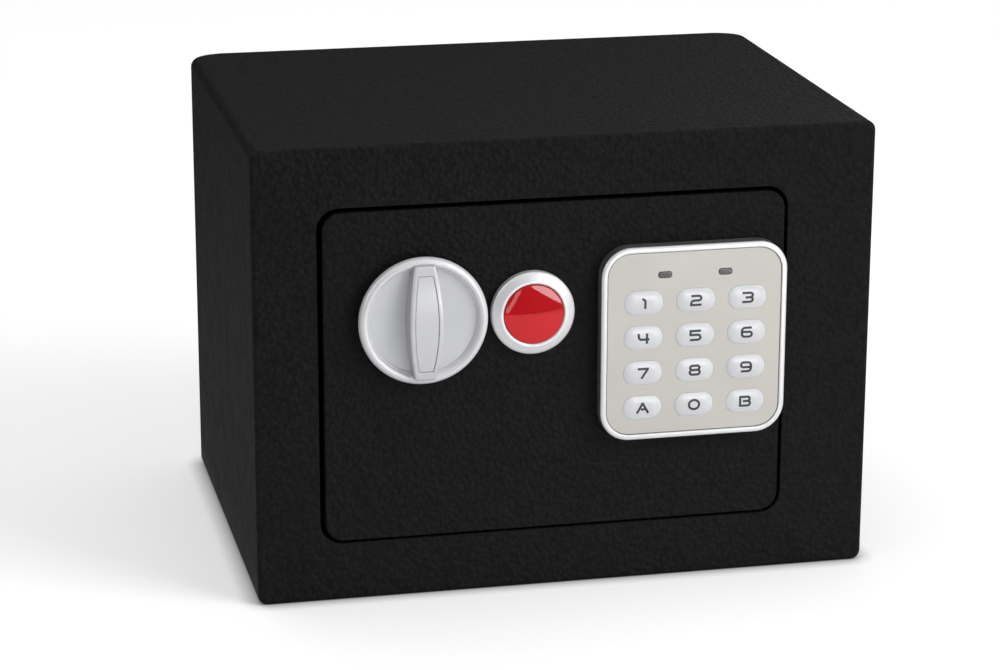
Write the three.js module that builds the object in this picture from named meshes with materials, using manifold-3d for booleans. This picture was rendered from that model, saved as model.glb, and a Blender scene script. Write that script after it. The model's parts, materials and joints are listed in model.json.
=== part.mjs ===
// Mini safe with a knob, an electronic keypad and a key override lock behind a red cap.
// Lengths are in millimetres. Seen from the front, +X is right, +Y runs into the safe and +Z is up.
// The origin is the centre of the cabinet's underside.
// A depth, in names ending with D, is measured from the plane of the cabinet's front towards the back.

import * as THREE from 'three';
import { mergeVertices } from 'three/addons/utils/BufferGeometryUtils.js';
import Module from 'manifold-3d';

const wasm = await Module();
wasm.setup();

// Clearances: pieces fixed in each other, and pieces that move or are fitted by hand.
const FIXED_GAP = 0.05;
const FIT_GAP = 0.15;

// How far a cutting shape runs past the face that it cuts through.
const OVERCUT = 1;

// Facets round a full circle of a small, a middling and a large piece.
const FACETS_SMALL = 12;
const FACETS = 20;
const FACETS_LARGE = 32;

// Cabinet: one folded and welded sheet with a front frame, and a back welded in.
const CABINET_WIDTH = 230;
const CABINET_DEPTH = 170;
const CABINET_HEIGHT = 170;
const SHEET = 1.5;
const CORNER_RADIUS = 3.5;
const FRONT_BEND = 1.6;
const BACK_BEND = 8;
const MARGIN_LATCH = 23.25;
const MARGIN_HINGE = 32.8;
const MARGIN_TOP = 22.4;
const MARGIN_BOTTOM = 21.8;
const OPENING_RADIUS = 8;
const WELD_GAP = 0.2;
const ANCHOR_RADIUS = 4.5;
const ANCHOR_SPACING = 140;
const BACK_ANCHOR_HEIGHT = 100;
const MAT_THICKNESS = 2;
const MAT_MARGIN = 2;

// Door plate and the gaps around it. The latch gap lets the plate's edge swing out.
const GAP_LATCH = 2;
const GAP_HINGE = 0.95;
const GAP_TOP = 1.7;
const GAP_BOTTOM = 0.75;
const DOOR_THICKNESS = 3;
const DOOR_RECESS = 0.4;
const DOOR_RADIUS = 7;
const DOOR_EDGE_ROUND = 0.6;

// Swan-neck hinges: the arm reaches round the frame's edge to a pin behind the wide hinge margin.
const PIVOT_FROM_SIDE = 11;
const KNUCKLE_RADIUS = 3.4;
const KNUCKLE_CLEARANCE = 0.6;
const ARM_CLEARANCE = 0.7;
const ARM_WIDTH = 5.3;
const ARM_HEIGHT = 6;
const ARM_LEAN = THREE.MathUtils.degToRad(12);
const ARM_LEG_WIDTH = 5;
const ARM_FROM_EDGE = 15;
const FOOT_HEIGHT = 16;
const FOOT_THICKNESS = 3;
const PIN_RADIUS = 2;
const PIN_CLEARANCE = 0.15;
const PIN_HEAD_RADIUS = 3.4;
const PIN_HEAD_HEIGHT = 1.2;
const LUG_RADIUS = 4;
const LUG_THICKNESS = 2;
const LUG_GAP = 0.4;

// Mechanism cover on the back of the door.
const COVER_DEPTH = 24;
const COVER_SHEET = 1;
const COVER_RADIUS = 4;
const COVER_INSET_LATCH = 5.75;
const COVER_INSET_TOP = 3.9;
const COVER_INSET_BOTTOM = 4.45;
const COVER_ARM_GAP = 1.5;
const SCREW_RADIUS = 2;
const SCREW_HEAD_RADIUS = 3.6;
const SCREW_HEAD_HEIGHT = 1.6;
const SCREW_FROM_EDGE = 8;
const SCREW_SOCKET_RADIUS = 1.3;
const SCREW_CLEARANCE = 0.3;
const SCREW_HEAD_BEVEL = 0.5;
const SCREW_TAPPED_DEPTH = 1.5;

// Knob with its recessed dial, rounded rim and crowned grip bar.
const KNOB_FROM_LATCH = 35.65;
const KNOB_FROM_TOP = 40.2;
const KNOB_RADIUS = 23.6;
const KNOB_GAP = 0.5;
const KNOB_TAPER = 1.8;
const RIM_SHOULDER = 3.8;
const RIM_CREST = 6.2;
const RIM_INNER_RADIUS = 20.3;
const RIM_FALL = 1.7;
const DISH_DEPTH = 2.4;
const DISH_WALL = 0.4;
const DISH_CROWN = 0.5;
const KNOB_WALL = 1.6;
const GRIP_HALF_LENGTH = 21.2;
const GRIP_END_HALF_WIDTH = 3.7;
const GRIP_MID_HALF_WIDTH = 6.1;
const GRIP_END_HEIGHT = 8.2;
const GRIP_MID_HEIGHT = 11.8;
const INLAY_BORDER = 1.7;
const INLAY_END_BORDER = 3.4;
const INLAY_DEPTH = 0.9;
const INLAY_SINK = 0.25;
const INLAY_GAP = 0.15;
const HUB_RADIUS = 7;
const SPINDLE_RADIUS = 4;
const SPINDLE_REACH = 1.5;
const BUSH_RADIUS = 6;
const BUSH_FLANGE_RADIUS = 8.4;
const BUSH_FLANGE = 0.8;

// Boltwork: a pin on the spindle's cam drives the slotted carrier, which holds two round bolts.
const CRANK_RADIUS = 9.5;
const CRANK_START = THREE.MathUtils.degToRad(45);
const CRANK_PIN_RADIUS = 2.5;
const CRANK_SLOT_CLEARANCE = 0.45;
const CAM_STANDOFF = 3.6;
const CAM_THICKNESS = 2.5;
const CAM_HUB_RADIUS = 6.5;
const CAM_TIP_RADIUS = 4.5;
const CRANK_PIN_LENGTH = 4.5;
const CARRIER_GAP = 1;
const CARRIER_THICKNESS = 2;
const RIVET_CLEARANCE = 0.5;
const BOLT_RADIUS = 6;
const BOLT_SPACING = 52;
const BOLT_TIP_INSET = 3.75;
const BOLT_CHAMFER = 1;
const BOLT_NECK_RADIUS = 3.4;
const BOLT_RIVET_RADIUS = 5;
const BOLT_RIVET_HEIGHT = 1.2;
const BOLT_HOLE_CLEARANCE = 0.6;
const KEEPER_THICKNESS = 2;
const KEEPER_SETBACK = 0.5;
const KEEPER_FLANGE = 14;
const KEEPER_DEPTH = 26;
const KEEPER_END = 13;
const GUIDE_RADIUS = 2.5;
const GUIDE_HEAD_RADIUS = 4.4;
const GUIDE_HEAD_HEIGHT = 1.2;
const GUIDE_COLLAR_RADIUS = 4;
const GUIDE_SLOT_CLEARANCE = 0.4;
const GUIDE_WEB = 4;
const GUIDE_LOWER_FROM_FLANGE = 8;
const GUIDE_LOWER_BELOW_MID = 16;
const GUIDE_UPPER_FROM_LOCK = 13.6;
const CARRIER_LIP = 2;
const CARRIER_END_GAP = 0.6;
const SLOT_END_FLAT = 0.02;

// Override lock: escutcheon ring, red cap, barrel, nut, plug and tail.
const LOCK_FROM_KNOB = 40.6;
const RING_RADIUS = 15.4;
const RING_INNER_RADIUS = 11.15;
const RING_EDGE = 2.6;
const RING_CREST = 4.5;
const RING_FOOT_SLOPE = 0.55;
const RING_LAND = 0.65;
const RING_BEVEL = 0.45;
const CAP_SEAT = 3.3;
const CAP_EDGE = 1.1;
const CAP_DOME = 0.9;
const LOCK_HEAD = 3;
const LOCK_HEAD_GAP = 0.3;
const LOCK_RADIUS = 8.9;
const LOCK_BACK = 11.6;
const PLUG_RADIUS = 5.4;
const PLUG_SET_BACK = 0.2;
const KEYWAY_WIDTH = 1.4;
const KEYWAY_HEIGHT = 7.4;
const KEYWAY_DEPTH = 6;
const STUB_RADIUS = 3;
const STUB_LENGTH = 3.5;
const NUT_FLATS = 24;
const NUT_THICKNESS = 3.5;
const TAIL_GAP = 0.3;
const TAIL_THICKNESS = 2;
const TAIL_HUB_RADIUS = 6;
const TAIL_REACH = 16;
const TAIL_TIP_RADIUS = 3;
const TAIL_LIFT = THREE.MathUtils.degToRad(22);
const TAIL_SWEEP = THREE.MathUtils.degToRad(90);

// Solenoid with its plunger, which rests on the carrier's step while the bolts are drawn back.
const PLUNGER_FROM_LOCK = 17.5;
const PLUNGER_RADIUS = 3;
const PLUNGER_COLLAR_RADIUS = 5.5;
const PLUNGER_COLLAR_HEIGHT = 1.3;
const PLUNGER_REST_GAP = 0.3;
const PLUNGER_LENGTH = 21;
const STEP_ABOVE_LOCK = 6.3;
const SOLENOID_ABOVE_LOCK = 15.3;
const SOLENOID_HEIGHT = 18.5;
const SOLENOID_WIDTH = 17;
const SOLENOID_PLATE = 1.3;
const COIL_RADIUS = 6.5;
const COIL_GAP = 0.3;
const BORE_GAP = 0.4;
const SPRING_WIRE = 0.35;
const SPRING_TURNS = 3;
const SPRING_STEPS_PER_TURN = 8;
const SPRING_SIDES = 5;

// Keypad: a rimmed housing, a faceplate with twelve domed keys, two windows and the circuit board.
const KEYPAD_WIDTH = 69.8;
const KEYPAD_HEIGHT = 72.9;
const KEYPAD_RADIUS = 11;
const KEYPAD_FROM_HINGE = 0.25;
const KEYPAD_FROM_TOP = 17.25;
const KEYPAD_DEPTH = 6;
const KEYPAD_RIM = 2.1;
const KEYPAD_RIM_ROUND = 0.9;
const KEYPAD_LEDGE = 1;
const KEYPAD_FLOOR = 1;
const FACE_SINK = 0.4;
const FACE_THICKNESS = 1.6;
const BOARD_THICKNESS = 1.2;
const BOARD_GAP = 0.4;
const BOARD_HOLE_RADIUS = 2.2;
const KEY_WIDTH = 14.3;
const KEY_HEIGHT = 8.7;
const KEY_RADIUS = 4.1;
const KEY_CLEARANCE = 0.15;
const KEY_PITCH_X = 19.5;
const KEY_PITCH_Z = 13.25;
const KEY_FIRST_ROW = 15.65;
const KEYS_OFF_CENTRE = 0.3;
const KEY_PROUD = 0.75;
const KEY_EDGE = 0.25;
const KEY_DOME_STEP = 1.5;
const KEY_FLANGE = 0.8;
const KEY_FLANGE_LIP = 0.7;
const KEY_LABELS = [['1', '2', '3'], ['4', '5', '6'], ['7', '8', '9'], ['a', '0', 'b']];
const WINDOW_WIDTH = 4.9;
const WINDOW_HEIGHT = 2.2;
const WINDOW_SPACING = 22.7;
const WINDOW_ABOVE_CENTRE = 25.8;
const WINDOW_PROUD = 0.1;
const WIRE_HOLE_RADIUS = 4.5;

// Batteries, their tray and lid, and the code reset button, all reached with the door open.
const CELL_RADIUS = 7.1;
const CELL_LENGTH = 49.4;
const CELL_NUB_RADIUS = 2.7;
const CELL_NUB_LENGTH = 1;
const CELL_COUNT = 4;
const CELL_GAP = 0.4;
const CELL_END_GAP = 0.9;
const TRAY_WALL = 1.4;
const TRAY_FLANGE = 2.5;
const TRAY_FROM_ARM = 5;
const TRAY_ABOVE_COVER = 9;
const LID_THICKNESS = 1.5;
const LID_OVERLAP = 2;
const LID_LIP = 2.2;
const LID_LIP_WALL = 1.2;
const LID_TAB_WIDTH = 14;
const LID_TAB_HEIGHT = 3;
const LID_TAB_DEPTH = 2;
const LID_LIP_GAP = 0.3;
const RESET_FROM_LATCH = 70;
const RESET_ABOVE_COVER = 24;
const SWITCH_SIZE = 8;
const SWITCH_DEPTH = 5;
const SWITCH_FLOOR = 1;
const RESET_RADIUS = 2.2;
const RESET_PROUD = 2;
const RESET_TRAVEL = 0.8;

const COLOURS = {
  powderCoat: { color: 0x1b1b1c, roughness: 0.75, metalness: 0.1 },
  zincSteel: { color: 0xa9adb2, roughness: 0.38, metalness: 0.9 },
  brightSteel: { color: 0xc6c9cd, roughness: 0.22, metalness: 1 },
  brass: { color: 0xb9964a, roughness: 0.3, metalness: 1 },
  silverPlastic: { color: 0xc4c6c9, roughness: 0.35, metalness: 0.35 },
  chromeRim: { color: 0xd8dade, roughness: 0.15, metalness: 0.8 },
  facePlastic: { color: 0xc8c6be, roughness: 0.55, metalness: 0 },
  keyPlastic: { color: 0xdfe0e6, roughness: 0.4, metalness: 0 },
  smokedLens: { color: 0x55555a, roughness: 0.2, metalness: 0 },
  redEnamel: { color: 0xb80d18, roughness: 0.08, metalness: 0 },
  redPlastic: { color: 0xb01818, roughness: 0.4, metalness: 0 },
  blackPlastic: { color: 0x161617, roughness: 0.5, metalness: 0 },
  nylon: { color: 0xe8e6df, roughness: 0.5, metalness: 0 },
  circuitBoard: { color: 0x1d5a34, roughness: 0.5, metalness: 0 },
  copperCoil: { color: 0x8a4a20, roughness: 0.4, metalness: 0.6 },
  cellWrap: { color: 0x2d3a52, roughness: 0.3, metalness: 0.2 },
  feltGrey: { color: 0x3a3a3d, roughness: 0.95, metalness: 0 },
};

// Places that follow from the dimensions above.
const openLeft = -CABINET_WIDTH / 2 + MARGIN_LATCH;
const openRight = CABINET_WIDTH / 2 - MARGIN_HINGE;
const openBottom = MARGIN_BOTTOM;
const openTop = CABINET_HEIGHT - MARGIN_TOP;
const doorLeft = openLeft + GAP_LATCH;
const doorRight = openRight - GAP_HINGE;
const doorBottom = openBottom + GAP_BOTTOM;
const doorTop = openTop - GAP_TOP;
const doorMidZ = (doorTop + doorBottom) / 2;
const doorFrontD = DOOR_RECESS;
const doorBackD = DOOR_RECESS + DOOR_THICKNESS;
const innerSide = CABINET_WIDTH / 2 - SHEET;
const backEdge = CABINET_WIDTH / 2 - BACK_BEND;

const pivotX = CABINET_WIDTH / 2 - PIVOT_FROM_SIDE;
const pivotD = SHEET + KNUCKLE_CLEARANCE + KNUCKLE_RADIUS;
const armInner = Math.hypot(pivotX - openRight, pivotD) + ARM_CLEARANCE;
const armOuter = armInner + ARM_WIDTH;
const upperArmZ = doorTop - ARM_FROM_EDGE;
const lowerArmZ = doorBottom + ARM_FROM_EDGE;

const coverLeft = doorLeft + COVER_INSET_LATCH;
const coverRight = pivotX - armOuter - COVER_ARM_GAP;
const coverTop = doorTop - COVER_INSET_TOP;
const coverBottom = doorBottom + COVER_INSET_BOTTOM;
const coverBackD = doorBackD + COVER_DEPTH;
const coverInnerD = coverBackD - COVER_SHEET;

const knobX = doorLeft + KNOB_FROM_LATCH;
const knobZ = doorTop - KNOB_FROM_TOP;
const lockX = knobX + LOCK_FROM_KNOB;
const lockZ = knobZ;
const camD = doorBackD + CAM_STANDOFF;
const camBackD = camD + CAM_THICKNESS;
const carrierD = camBackD + CARRIER_GAP;
const carrierBackD = carrierD + CARRIER_THICKNESS;
const carrierMidD = (carrierD + carrierBackD) / 2;
const boltD = carrierBackD + BOLT_RIVET_RADIUS + RIVET_CLEARANCE;
const flangeBackD = boltD + BOLT_RADIUS;
const boltTipX = doorLeft + BOLT_TIP_INSET;
const boltThrow = 2 * CRANK_RADIUS * Math.sin(CRANK_START);
const flangeX = coverLeft + COVER_SHEET + CARRIER_END_GAP + boltThrow;
const lockBackD = doorBackD + LOCK_BACK;
const plungerX = lockX - PLUNGER_FROM_LOCK;
const stepZ = lockZ + STEP_ABOVE_LOCK;

const keypadX = doorRight - KEYPAD_FROM_HINGE - KEYPAD_WIDTH / 2;
const keypadZ = doorTop - KEYPAD_FROM_TOP - KEYPAD_HEIGHT / 2;
const keypadFrontD = doorFrontD - KEYPAD_DEPTH;
const faceD = keypadFrontD + FACE_SINK;
const faceBackD = faceD + FACE_THICKNESS;
const floorD = doorFrontD - KEYPAD_FLOOR;
const boardD = floorD - BOARD_THICKNESS;

const cellPitch = 2 * CELL_RADIUS + CELL_GAP;
const trayInnerWidth = CELL_COUNT * cellPitch;
const trayInnerHeight = CELL_LENGTH + CELL_NUB_LENGTH + 2 * CELL_END_GAP;
const trayRight = coverRight - TRAY_FROM_ARM;
const trayLeft = trayRight - trayInnerWidth;
const trayBottom = coverBottom + TRAY_ABOVE_COVER;
const trayTop = trayBottom + trayInnerHeight;
const trayFloorD = coverBackD - LID_LIP - 2 * CELL_RADIUS - 2 * CELL_GAP;
const resetX = doorLeft + RESET_FROM_LATCH;
const resetZ = coverBottom + RESET_ABOVE_COVER;

// Depth from the front plane to the model's Y.
const yAt = (depth) => depth - CABINET_DEPTH / 2;

// Outlines, as lists of points running anticlockwise.
function arc(cx, cy, radius, from, to, steps) {
  return Array.from({ length: steps + 1 }, (_, i) => {
    const angle = from + ((to - from) * i) / steps;
    return new THREE.Vector2(cx + radius * Math.cos(angle), cy + radius * Math.sin(angle));
  });
}

function circle(cx, cy, radius, steps = FACETS) {
  return arc(cx, cy, radius, 0, 2 * Math.PI, steps).slice(0, -1);
}

function roundedRect(x0, x1, y0, y1, radius, steps = 4) {
  const quarter = Math.PI / 2;
  return [
    ...arc(x1 - radius, y0 + radius, radius, -quarter, 0, steps),
    ...arc(x1 - radius, y1 - radius, radius, 0, quarter, steps),
    ...arc(x0 + radius, y1 - radius, radius, quarter, 2 * quarter, steps),
    ...arc(x0 + radius, y0 + radius, radius, 2 * quarter, 3 * quarter, steps),
  ];
}

function rect(x0, x1, y0, y1) {
  return [
    new THREE.Vector2(x0, y0),
    new THREE.Vector2(x1, y0),
    new THREE.Vector2(x1, y1),
    new THREE.Vector2(x0, y1),
  ];
}

// A bar with round ends from one point to another, with a radius at each end.
function taperedBar(x0, y0, r0, x1, y1, r1, steps = 10) {
  const heading = Math.atan2(y1 - y0, x1 - x0);
  const flare = Math.asin((r0 - r1) / Math.hypot(x1 - x0, y1 - y0));
  const side = Math.PI / 2 - flare;
  return [
    ...arc(x1, y1, r1, heading - side, heading + side, steps),
    ...arc(x0, y0, r0, heading + side, heading + 2 * Math.PI - side, steps),
  ];
}

// Closed three.js geometry to a solid that can be joined and cut.
function solid(geometry) {
  const bare = geometry.clone();
  bare.deleteAttribute('normal');
  bare.deleteAttribute('uv');
  const merged = mergeVertices(bare, 1e-5);
  const position = merged.attributes.position.array;
  const corner = (i) => new THREE.Vector3().fromArray(position, 3 * i);
  const triangles = [];
  let volume = 0;
  for (let i = 0; i < merged.index.count; i += 3) {
    const [a, b, c] = [0, 1, 2].map((k) => merged.index.getX(i + k));
    if (a === b || b === c || c === a) continue;
    triangles.push(a, b, c);
    volume += corner(a).dot(corner(b).cross(corner(c)));
  }
  if (volume < 0) triangles.reverse();
  return new wasm.Manifold(new wasm.Mesh({
    numProp: 3,
    vertProperties: new Float32Array(position),
    triVerts: new Uint32Array(triangles),
  }));
}

// A prism along Z from an outline in X and Y.
function prismZ(outline, z0, z1, bevel = {}) {
  const settings = { depth: z1 - z0, bevelEnabled: false, ...bevel };
  return new THREE.ExtrudeGeometry(new THREE.Shape(outline), settings).translate(0, 0, z0);
}

// A prism along the depth from an outline in X and Z.
function plateGeometry(outline, nearD, farD, bevel = {}) {
  return prismZ(outline, 0, farD - nearD, bevel).rotateX(Math.PI / 2).translate(0, yAt(farD), 0);
}

const plate = (outline, nearD, farD) => solid(plateGeometry(outline, nearD, farD));
const slab = (outline, z0, z1) => solid(prismZ(outline, z0, z1));
const block = (x0, x1, nearD, farD, z0, z1) => plate(rect(x0, x1, z0, z1), nearD, farD);

// A plate whose outer edges are rounded on both faces.
function roundEdgedPlate(outline, nearD, farD, round, segments = 2) {
  const bevel = {
    depth: farD - nearD - 2 * round,
    bevelEnabled: true,
    bevelThickness: round,
    bevelSize: round,
    bevelOffset: -round,
    bevelSegments: segments,
  };
  return solid(plateGeometry(outline, nearD + round, farD - round, bevel));
}

// A turned piece about an axis along the depth, from a closed profile of [radius, depth] pairs.
function turned(profile, x, z, segments = FACETS) {
  const points = profile.map(([radius, depth]) => new THREE.Vector2(radius, yAt(depth)));
  points.push(points[0].clone());
  return solid(new THREE.LatheGeometry(points, segments).translate(x, 0, z));
}

// A turned piece about an upright axis, from a closed profile of [radius, height] pairs.
function turnedUpright(profile, x, depth, segments = FACETS_SMALL) {
  const points = profile.map(([radius, height]) => new THREE.Vector2(radius, height));
  points.push(points[0].clone());
  const geometry = new THREE.LatheGeometry(points, segments).rotateX(Math.PI / 2);
  return solid(geometry.translate(x, yAt(depth), 0));
}

// A turned piece about an axis along X, from a closed profile of [radius, x] pairs.
function turnedAcross(profile, depth, z, segments = FACETS) {
  const points = profile.map(([radius, along]) => new THREE.Vector2(radius, along));
  points.push(points[0].clone());
  const geometry = new THREE.LatheGeometry(points, segments).rotateZ(-Math.PI / 2);
  return solid(geometry.translate(0, yAt(depth), z));
}

const rod = (radius, nearD, farD, x, z, segments) =>
  turned([[0, nearD], [radius, nearD], [radius, farD], [0, farD]], x, z, segments);
const rodUpright = (radius, z0, z1, x, depth, segments) =>
  turnedUpright([[0, z0], [radius, z0], [radius, z1], [0, z1]], x, depth, segments);
const rodAcross = (radius, x0, x1, depth, z, segments) =>
  turnedAcross([[0, x0], [radius, x0], [radius, x1], [0, x1]], depth, z, segments);

const cut = (body, ...tools) => tools.reduce((left, tool) => left.subtract(tool), body);
const join = (body, ...others) => others.reduce((left, other) => left.add(other), body);

const safe = new THREE.Group();

function addPiece(name, body, colour) {
  const shape = body.getMesh();
  const geometry = new THREE.BufferGeometry();
  geometry.setAttribute('position', new THREE.BufferAttribute(shape.vertProperties, 3));
  geometry.setIndex(new THREE.BufferAttribute(shape.triVerts, 1));
  geometry.computeVertexNormals();
  const piece = new THREE.Mesh(geometry, new THREE.MeshStandardMaterial(COLOURS[colour]));
  piece.name = name;
  safe.add(piece);
}

// Cabinet

function anchorHoles(make) {
  return [-1, 1].map((side) => make((side * ANCHOR_SPACING) / 2));
}

// What two upright back corners at a distance from the middle lose when they are rounded.
function backCorners(reach, farD, radius) {
  const top = CABINET_HEIGHT + OVERCUT;
  const straightD = farD - radius;
  return [-1, 1].map((side) => {
    const axisX = side * (reach - radius);
    const pastX = side * (reach + OVERCUT);
    return cut(
      block(Math.min(axisX, pastX), Math.max(axisX, pastX), straightD, farD + OVERCUT, -OVERCUT, top),
      rodUpright(radius, -2 * OVERCUT, top + OVERCUT, axisX, straightD, FACETS));
  });
}

function cabinetShell() {
  const half = CABINET_WIDTH / 2;
  const outline = roundedRect(-half, half, 0, CABINET_HEIGHT, CORNER_RADIUS);
  const hull = cut(
    roundEdgedPlate(outline, 0, CABINET_DEPTH + FRONT_BEND, FRONT_BEND, 3),
    ...backCorners(half, CABINET_DEPTH, BACK_BEND));
  const inside = cut(
    plate(roundedRect(-innerSide, innerSide, SHEET, CABINET_HEIGHT - SHEET, CORNER_RADIUS - SHEET),
      SHEET, CABINET_DEPTH - SHEET),
    ...backCorners(innerSide, CABINET_DEPTH - SHEET, BACK_BEND - SHEET));
  const backOpening = block(-backEdge, backEdge, CABINET_DEPTH - SHEET - OVERCUT,
    CABINET_DEPTH + OVERCUT, SHEET, CABINET_HEIGHT - SHEET);
  const behind = block(-half - OVERCUT, half + OVERCUT, CABINET_DEPTH, CABINET_DEPTH + 2 * FRONT_BEND,
    -OVERCUT, CABINET_HEIGHT + OVERCUT);
  const opening = plate(roundedRect(openLeft, openRight, openBottom, openTop, OPENING_RADIUS),
    -OVERCUT, SHEET + OVERCUT);
  const holes = anchorHoles((x) => rodUpright(ANCHOR_RADIUS, -OVERCUT, SHEET + OVERCUT, x,
    CABINET_DEPTH / 2, FACETS));
  return cut(hull, inside, backOpening, behind, opening, ...holes);
}

function backPanel() {
  const edge = backEdge - WELD_GAP;
  const panel = block(-edge, edge, CABINET_DEPTH - SHEET, CABINET_DEPTH, SHEET + WELD_GAP,
    CABINET_HEIGHT - SHEET - WELD_GAP);
  const holes = anchorHoles((x) => rod(ANCHOR_RADIUS, CABINET_DEPTH - SHEET - OVERCUT,
    CABINET_DEPTH + OVERCUT, x, BACK_ANCHOR_HEIGHT));
  return cut(panel, ...holes);
}

function floorMat() {
  const edge = innerSide - MAT_MARGIN;
  const near = SHEET + MAT_MARGIN;
  const far = CABINET_DEPTH - SHEET - MAT_MARGIN;
  const sheet = slab(roundedRect(-edge, edge, yAt(near), yAt(far), MAT_MARGIN), SHEET,
    SHEET + MAT_THICKNESS);
  const holes = anchorHoles((x) => rodUpright(ANCHOR_RADIUS, 0, SHEET + MAT_THICKNESS + OVERCUT, x,
    CABINET_DEPTH / 2, FACETS));
  return cut(sheet, ...holes);
}

const boltHeights = [doorMidZ + BOLT_SPACING / 2, doorMidZ - BOLT_SPACING / 2];

// An angle welded behind the latch margin, with a hole for each bolt.
function boltKeeper() {
  const right = openLeft - KEEPER_SETBACK;
  const bottom = boltHeights[1] - KEEPER_END;
  const top = boltHeights[0] + KEEPER_END;
  const flange = block(right - KEEPER_FLANGE, right, SHEET, SHEET + KEEPER_THICKNESS, bottom, top);
  const leg = block(right - KEEPER_THICKNESS, right, SHEET, SHEET + KEEPER_DEPTH, bottom, top);
  const holes = boltHeights.map((z) => rodAcross(BOLT_RADIUS + BOLT_HOLE_CLEARANCE,
    right - KEEPER_THICKNESS - OVERCUT, right + OVERCUT, boltD, z));
  return cut(join(flange, leg), ...holes);
}

// A channel welded to the side wall and the frame, whose two lugs hold the hinge pin.
function hingeBracket(armZ) {
  const inner = ARM_HEIGHT / 2 + LUG_GAP;
  const outer = inner + LUG_THICKNESS;
  const farD = pivotD + LUG_RADIUS;
  const lugOutline = [
    new THREE.Vector2(innerSide, yAt(SHEET)),
    new THREE.Vector2(innerSide, yAt(farD)),
    ...arc(pivotX, yAt(pivotD), LUG_RADIUS, Math.PI / 2, Math.PI, 6),
    new THREE.Vector2(pivotX - LUG_RADIUS, yAt(SHEET)),
  ];
  const lugs = [armZ + inner, armZ - outer].map((z) => slab(lugOutline, z, z + LUG_THICKNESS));
  const web = block(innerSide - SHEET, innerSide, SHEET, farD, armZ - outer, armZ + outer);
  const hole = rodUpright(PIN_RADIUS + FIXED_GAP, armZ - outer - OVERCUT, armZ + outer + OVERCUT,
    pivotX, pivotD);
  return cut(join(web, ...lugs), hole);
}

function hingePin(armZ) {
  const reach = ARM_HEIGHT / 2 + LUG_GAP + LUG_THICKNESS;
  const profile = [
    [0, armZ - reach - PIN_HEAD_HEIGHT],
    [PIN_RADIUS, armZ - reach - PIN_HEAD_HEIGHT],
    [PIN_RADIUS, armZ + reach],
    [PIN_HEAD_RADIUS, armZ + reach],
    [PIN_HEAD_RADIUS, armZ + reach + PIN_HEAD_HEIGHT / 2],
    [PIN_RADIUS, armZ + reach + PIN_HEAD_HEIGHT],
    [0, armZ + reach + PIN_HEAD_HEIGHT],
  ];
  return turnedUpright(profile, pivotX, pivotD);
}

// Door

const screwPlaces = [
  ['cover_screw_upper_left', coverLeft + SCREW_FROM_EDGE, coverTop - SCREW_FROM_EDGE],
  ['cover_screw_upper_right', coverRight - SCREW_FROM_EDGE, coverTop - SCREW_FROM_EDGE],
  ['cover_screw_lower', coverLeft + SCREW_FROM_EDGE, coverBottom + SCREW_FROM_EDGE],
];

function doorPlate() {
  const outline = roundedRect(doorLeft, doorRight, doorBottom, doorTop, DOOR_RADIUS);
  const sheet = roundEdgedPlate(outline, doorFrontD, doorBackD, DOOR_EDGE_ROUND, 1);
  const through = [doorFrontD - OVERCUT, doorBackD + OVERCUT];
  const tapped = screwPlaces.map(([, x, z]) => rod(SCREW_RADIUS + SCREW_CLEARANCE,
    doorBackD - SCREW_TAPPED_DEPTH, doorBackD + OVERCUT, x, z, FACETS_SMALL));
  return cut(sheet,
    rod(BUSH_RADIUS + FIT_GAP, ...through, knobX, knobZ),
    rod(LOCK_RADIUS + FIT_GAP, ...through, lockX, lockZ),
    rod(WIRE_HOLE_RADIUS, ...through, keypadX, keypadZ),
    ...tapped);
}

// The arm bends round the frame's edge on a circle about the pivot, so it clears it at every angle.
function swanNeck(armZ) {
  const bottom = armZ - ARM_HEIGHT / 2;
  const top = armZ + ARM_HEIGHT / 2;
  const legHeading = Math.PI / 2 - ARM_LEAN;
  const legHalf = ARM_LEG_WIDTH / 2;
  const endAngle = legHeading - Math.asin(legHalf / armOuter);
  const bow = [
    ...arc(pivotX, yAt(pivotD), armOuter, endAngle, Math.PI, 11),
    ...arc(pivotX, yAt(pivotD), armInner, Math.PI, endAngle, 10),
  ];
  const along = new THREE.Vector2(Math.cos(legHeading), Math.sin(legHeading));
  const across = new THREE.Vector2(along.y, -along.x);
  const legEnd = new THREE.Vector2(pivotX, yAt(pivotD)).addScaledVector(along, (armInner + armOuter) / 2);
  const leg = [
    ...arc(pivotX, yAt(pivotD), legHalf, legHeading + Math.PI / 2, legHeading + 1.5 * Math.PI, 8),
    legEnd.clone().addScaledVector(across, legHalf),
    legEnd.clone().addScaledVector(across, -legHalf),
  ];
  const footX = [pivotX - armOuter, pivotX - armInner];
  const post = block(...footX, doorBackD, pivotD + OVERCUT, bottom, top);
  const foot = block(...footX, doorBackD, doorBackD + FOOT_THICKNESS, armZ - FOOT_HEIGHT / 2,
    armZ + FOOT_HEIGHT / 2);
  const knuckle = rodUpright(KNUCKLE_RADIUS, bottom, top, pivotX, pivotD);
  const bore = rodUpright(PIN_RADIUS + PIN_CLEARANCE, bottom - OVERCUT, top + OVERCUT, pivotX, pivotD);
  return cut(join(slab(bow, bottom, top), slab(leg, bottom, top), post, foot, knuckle), bore);
}

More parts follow.
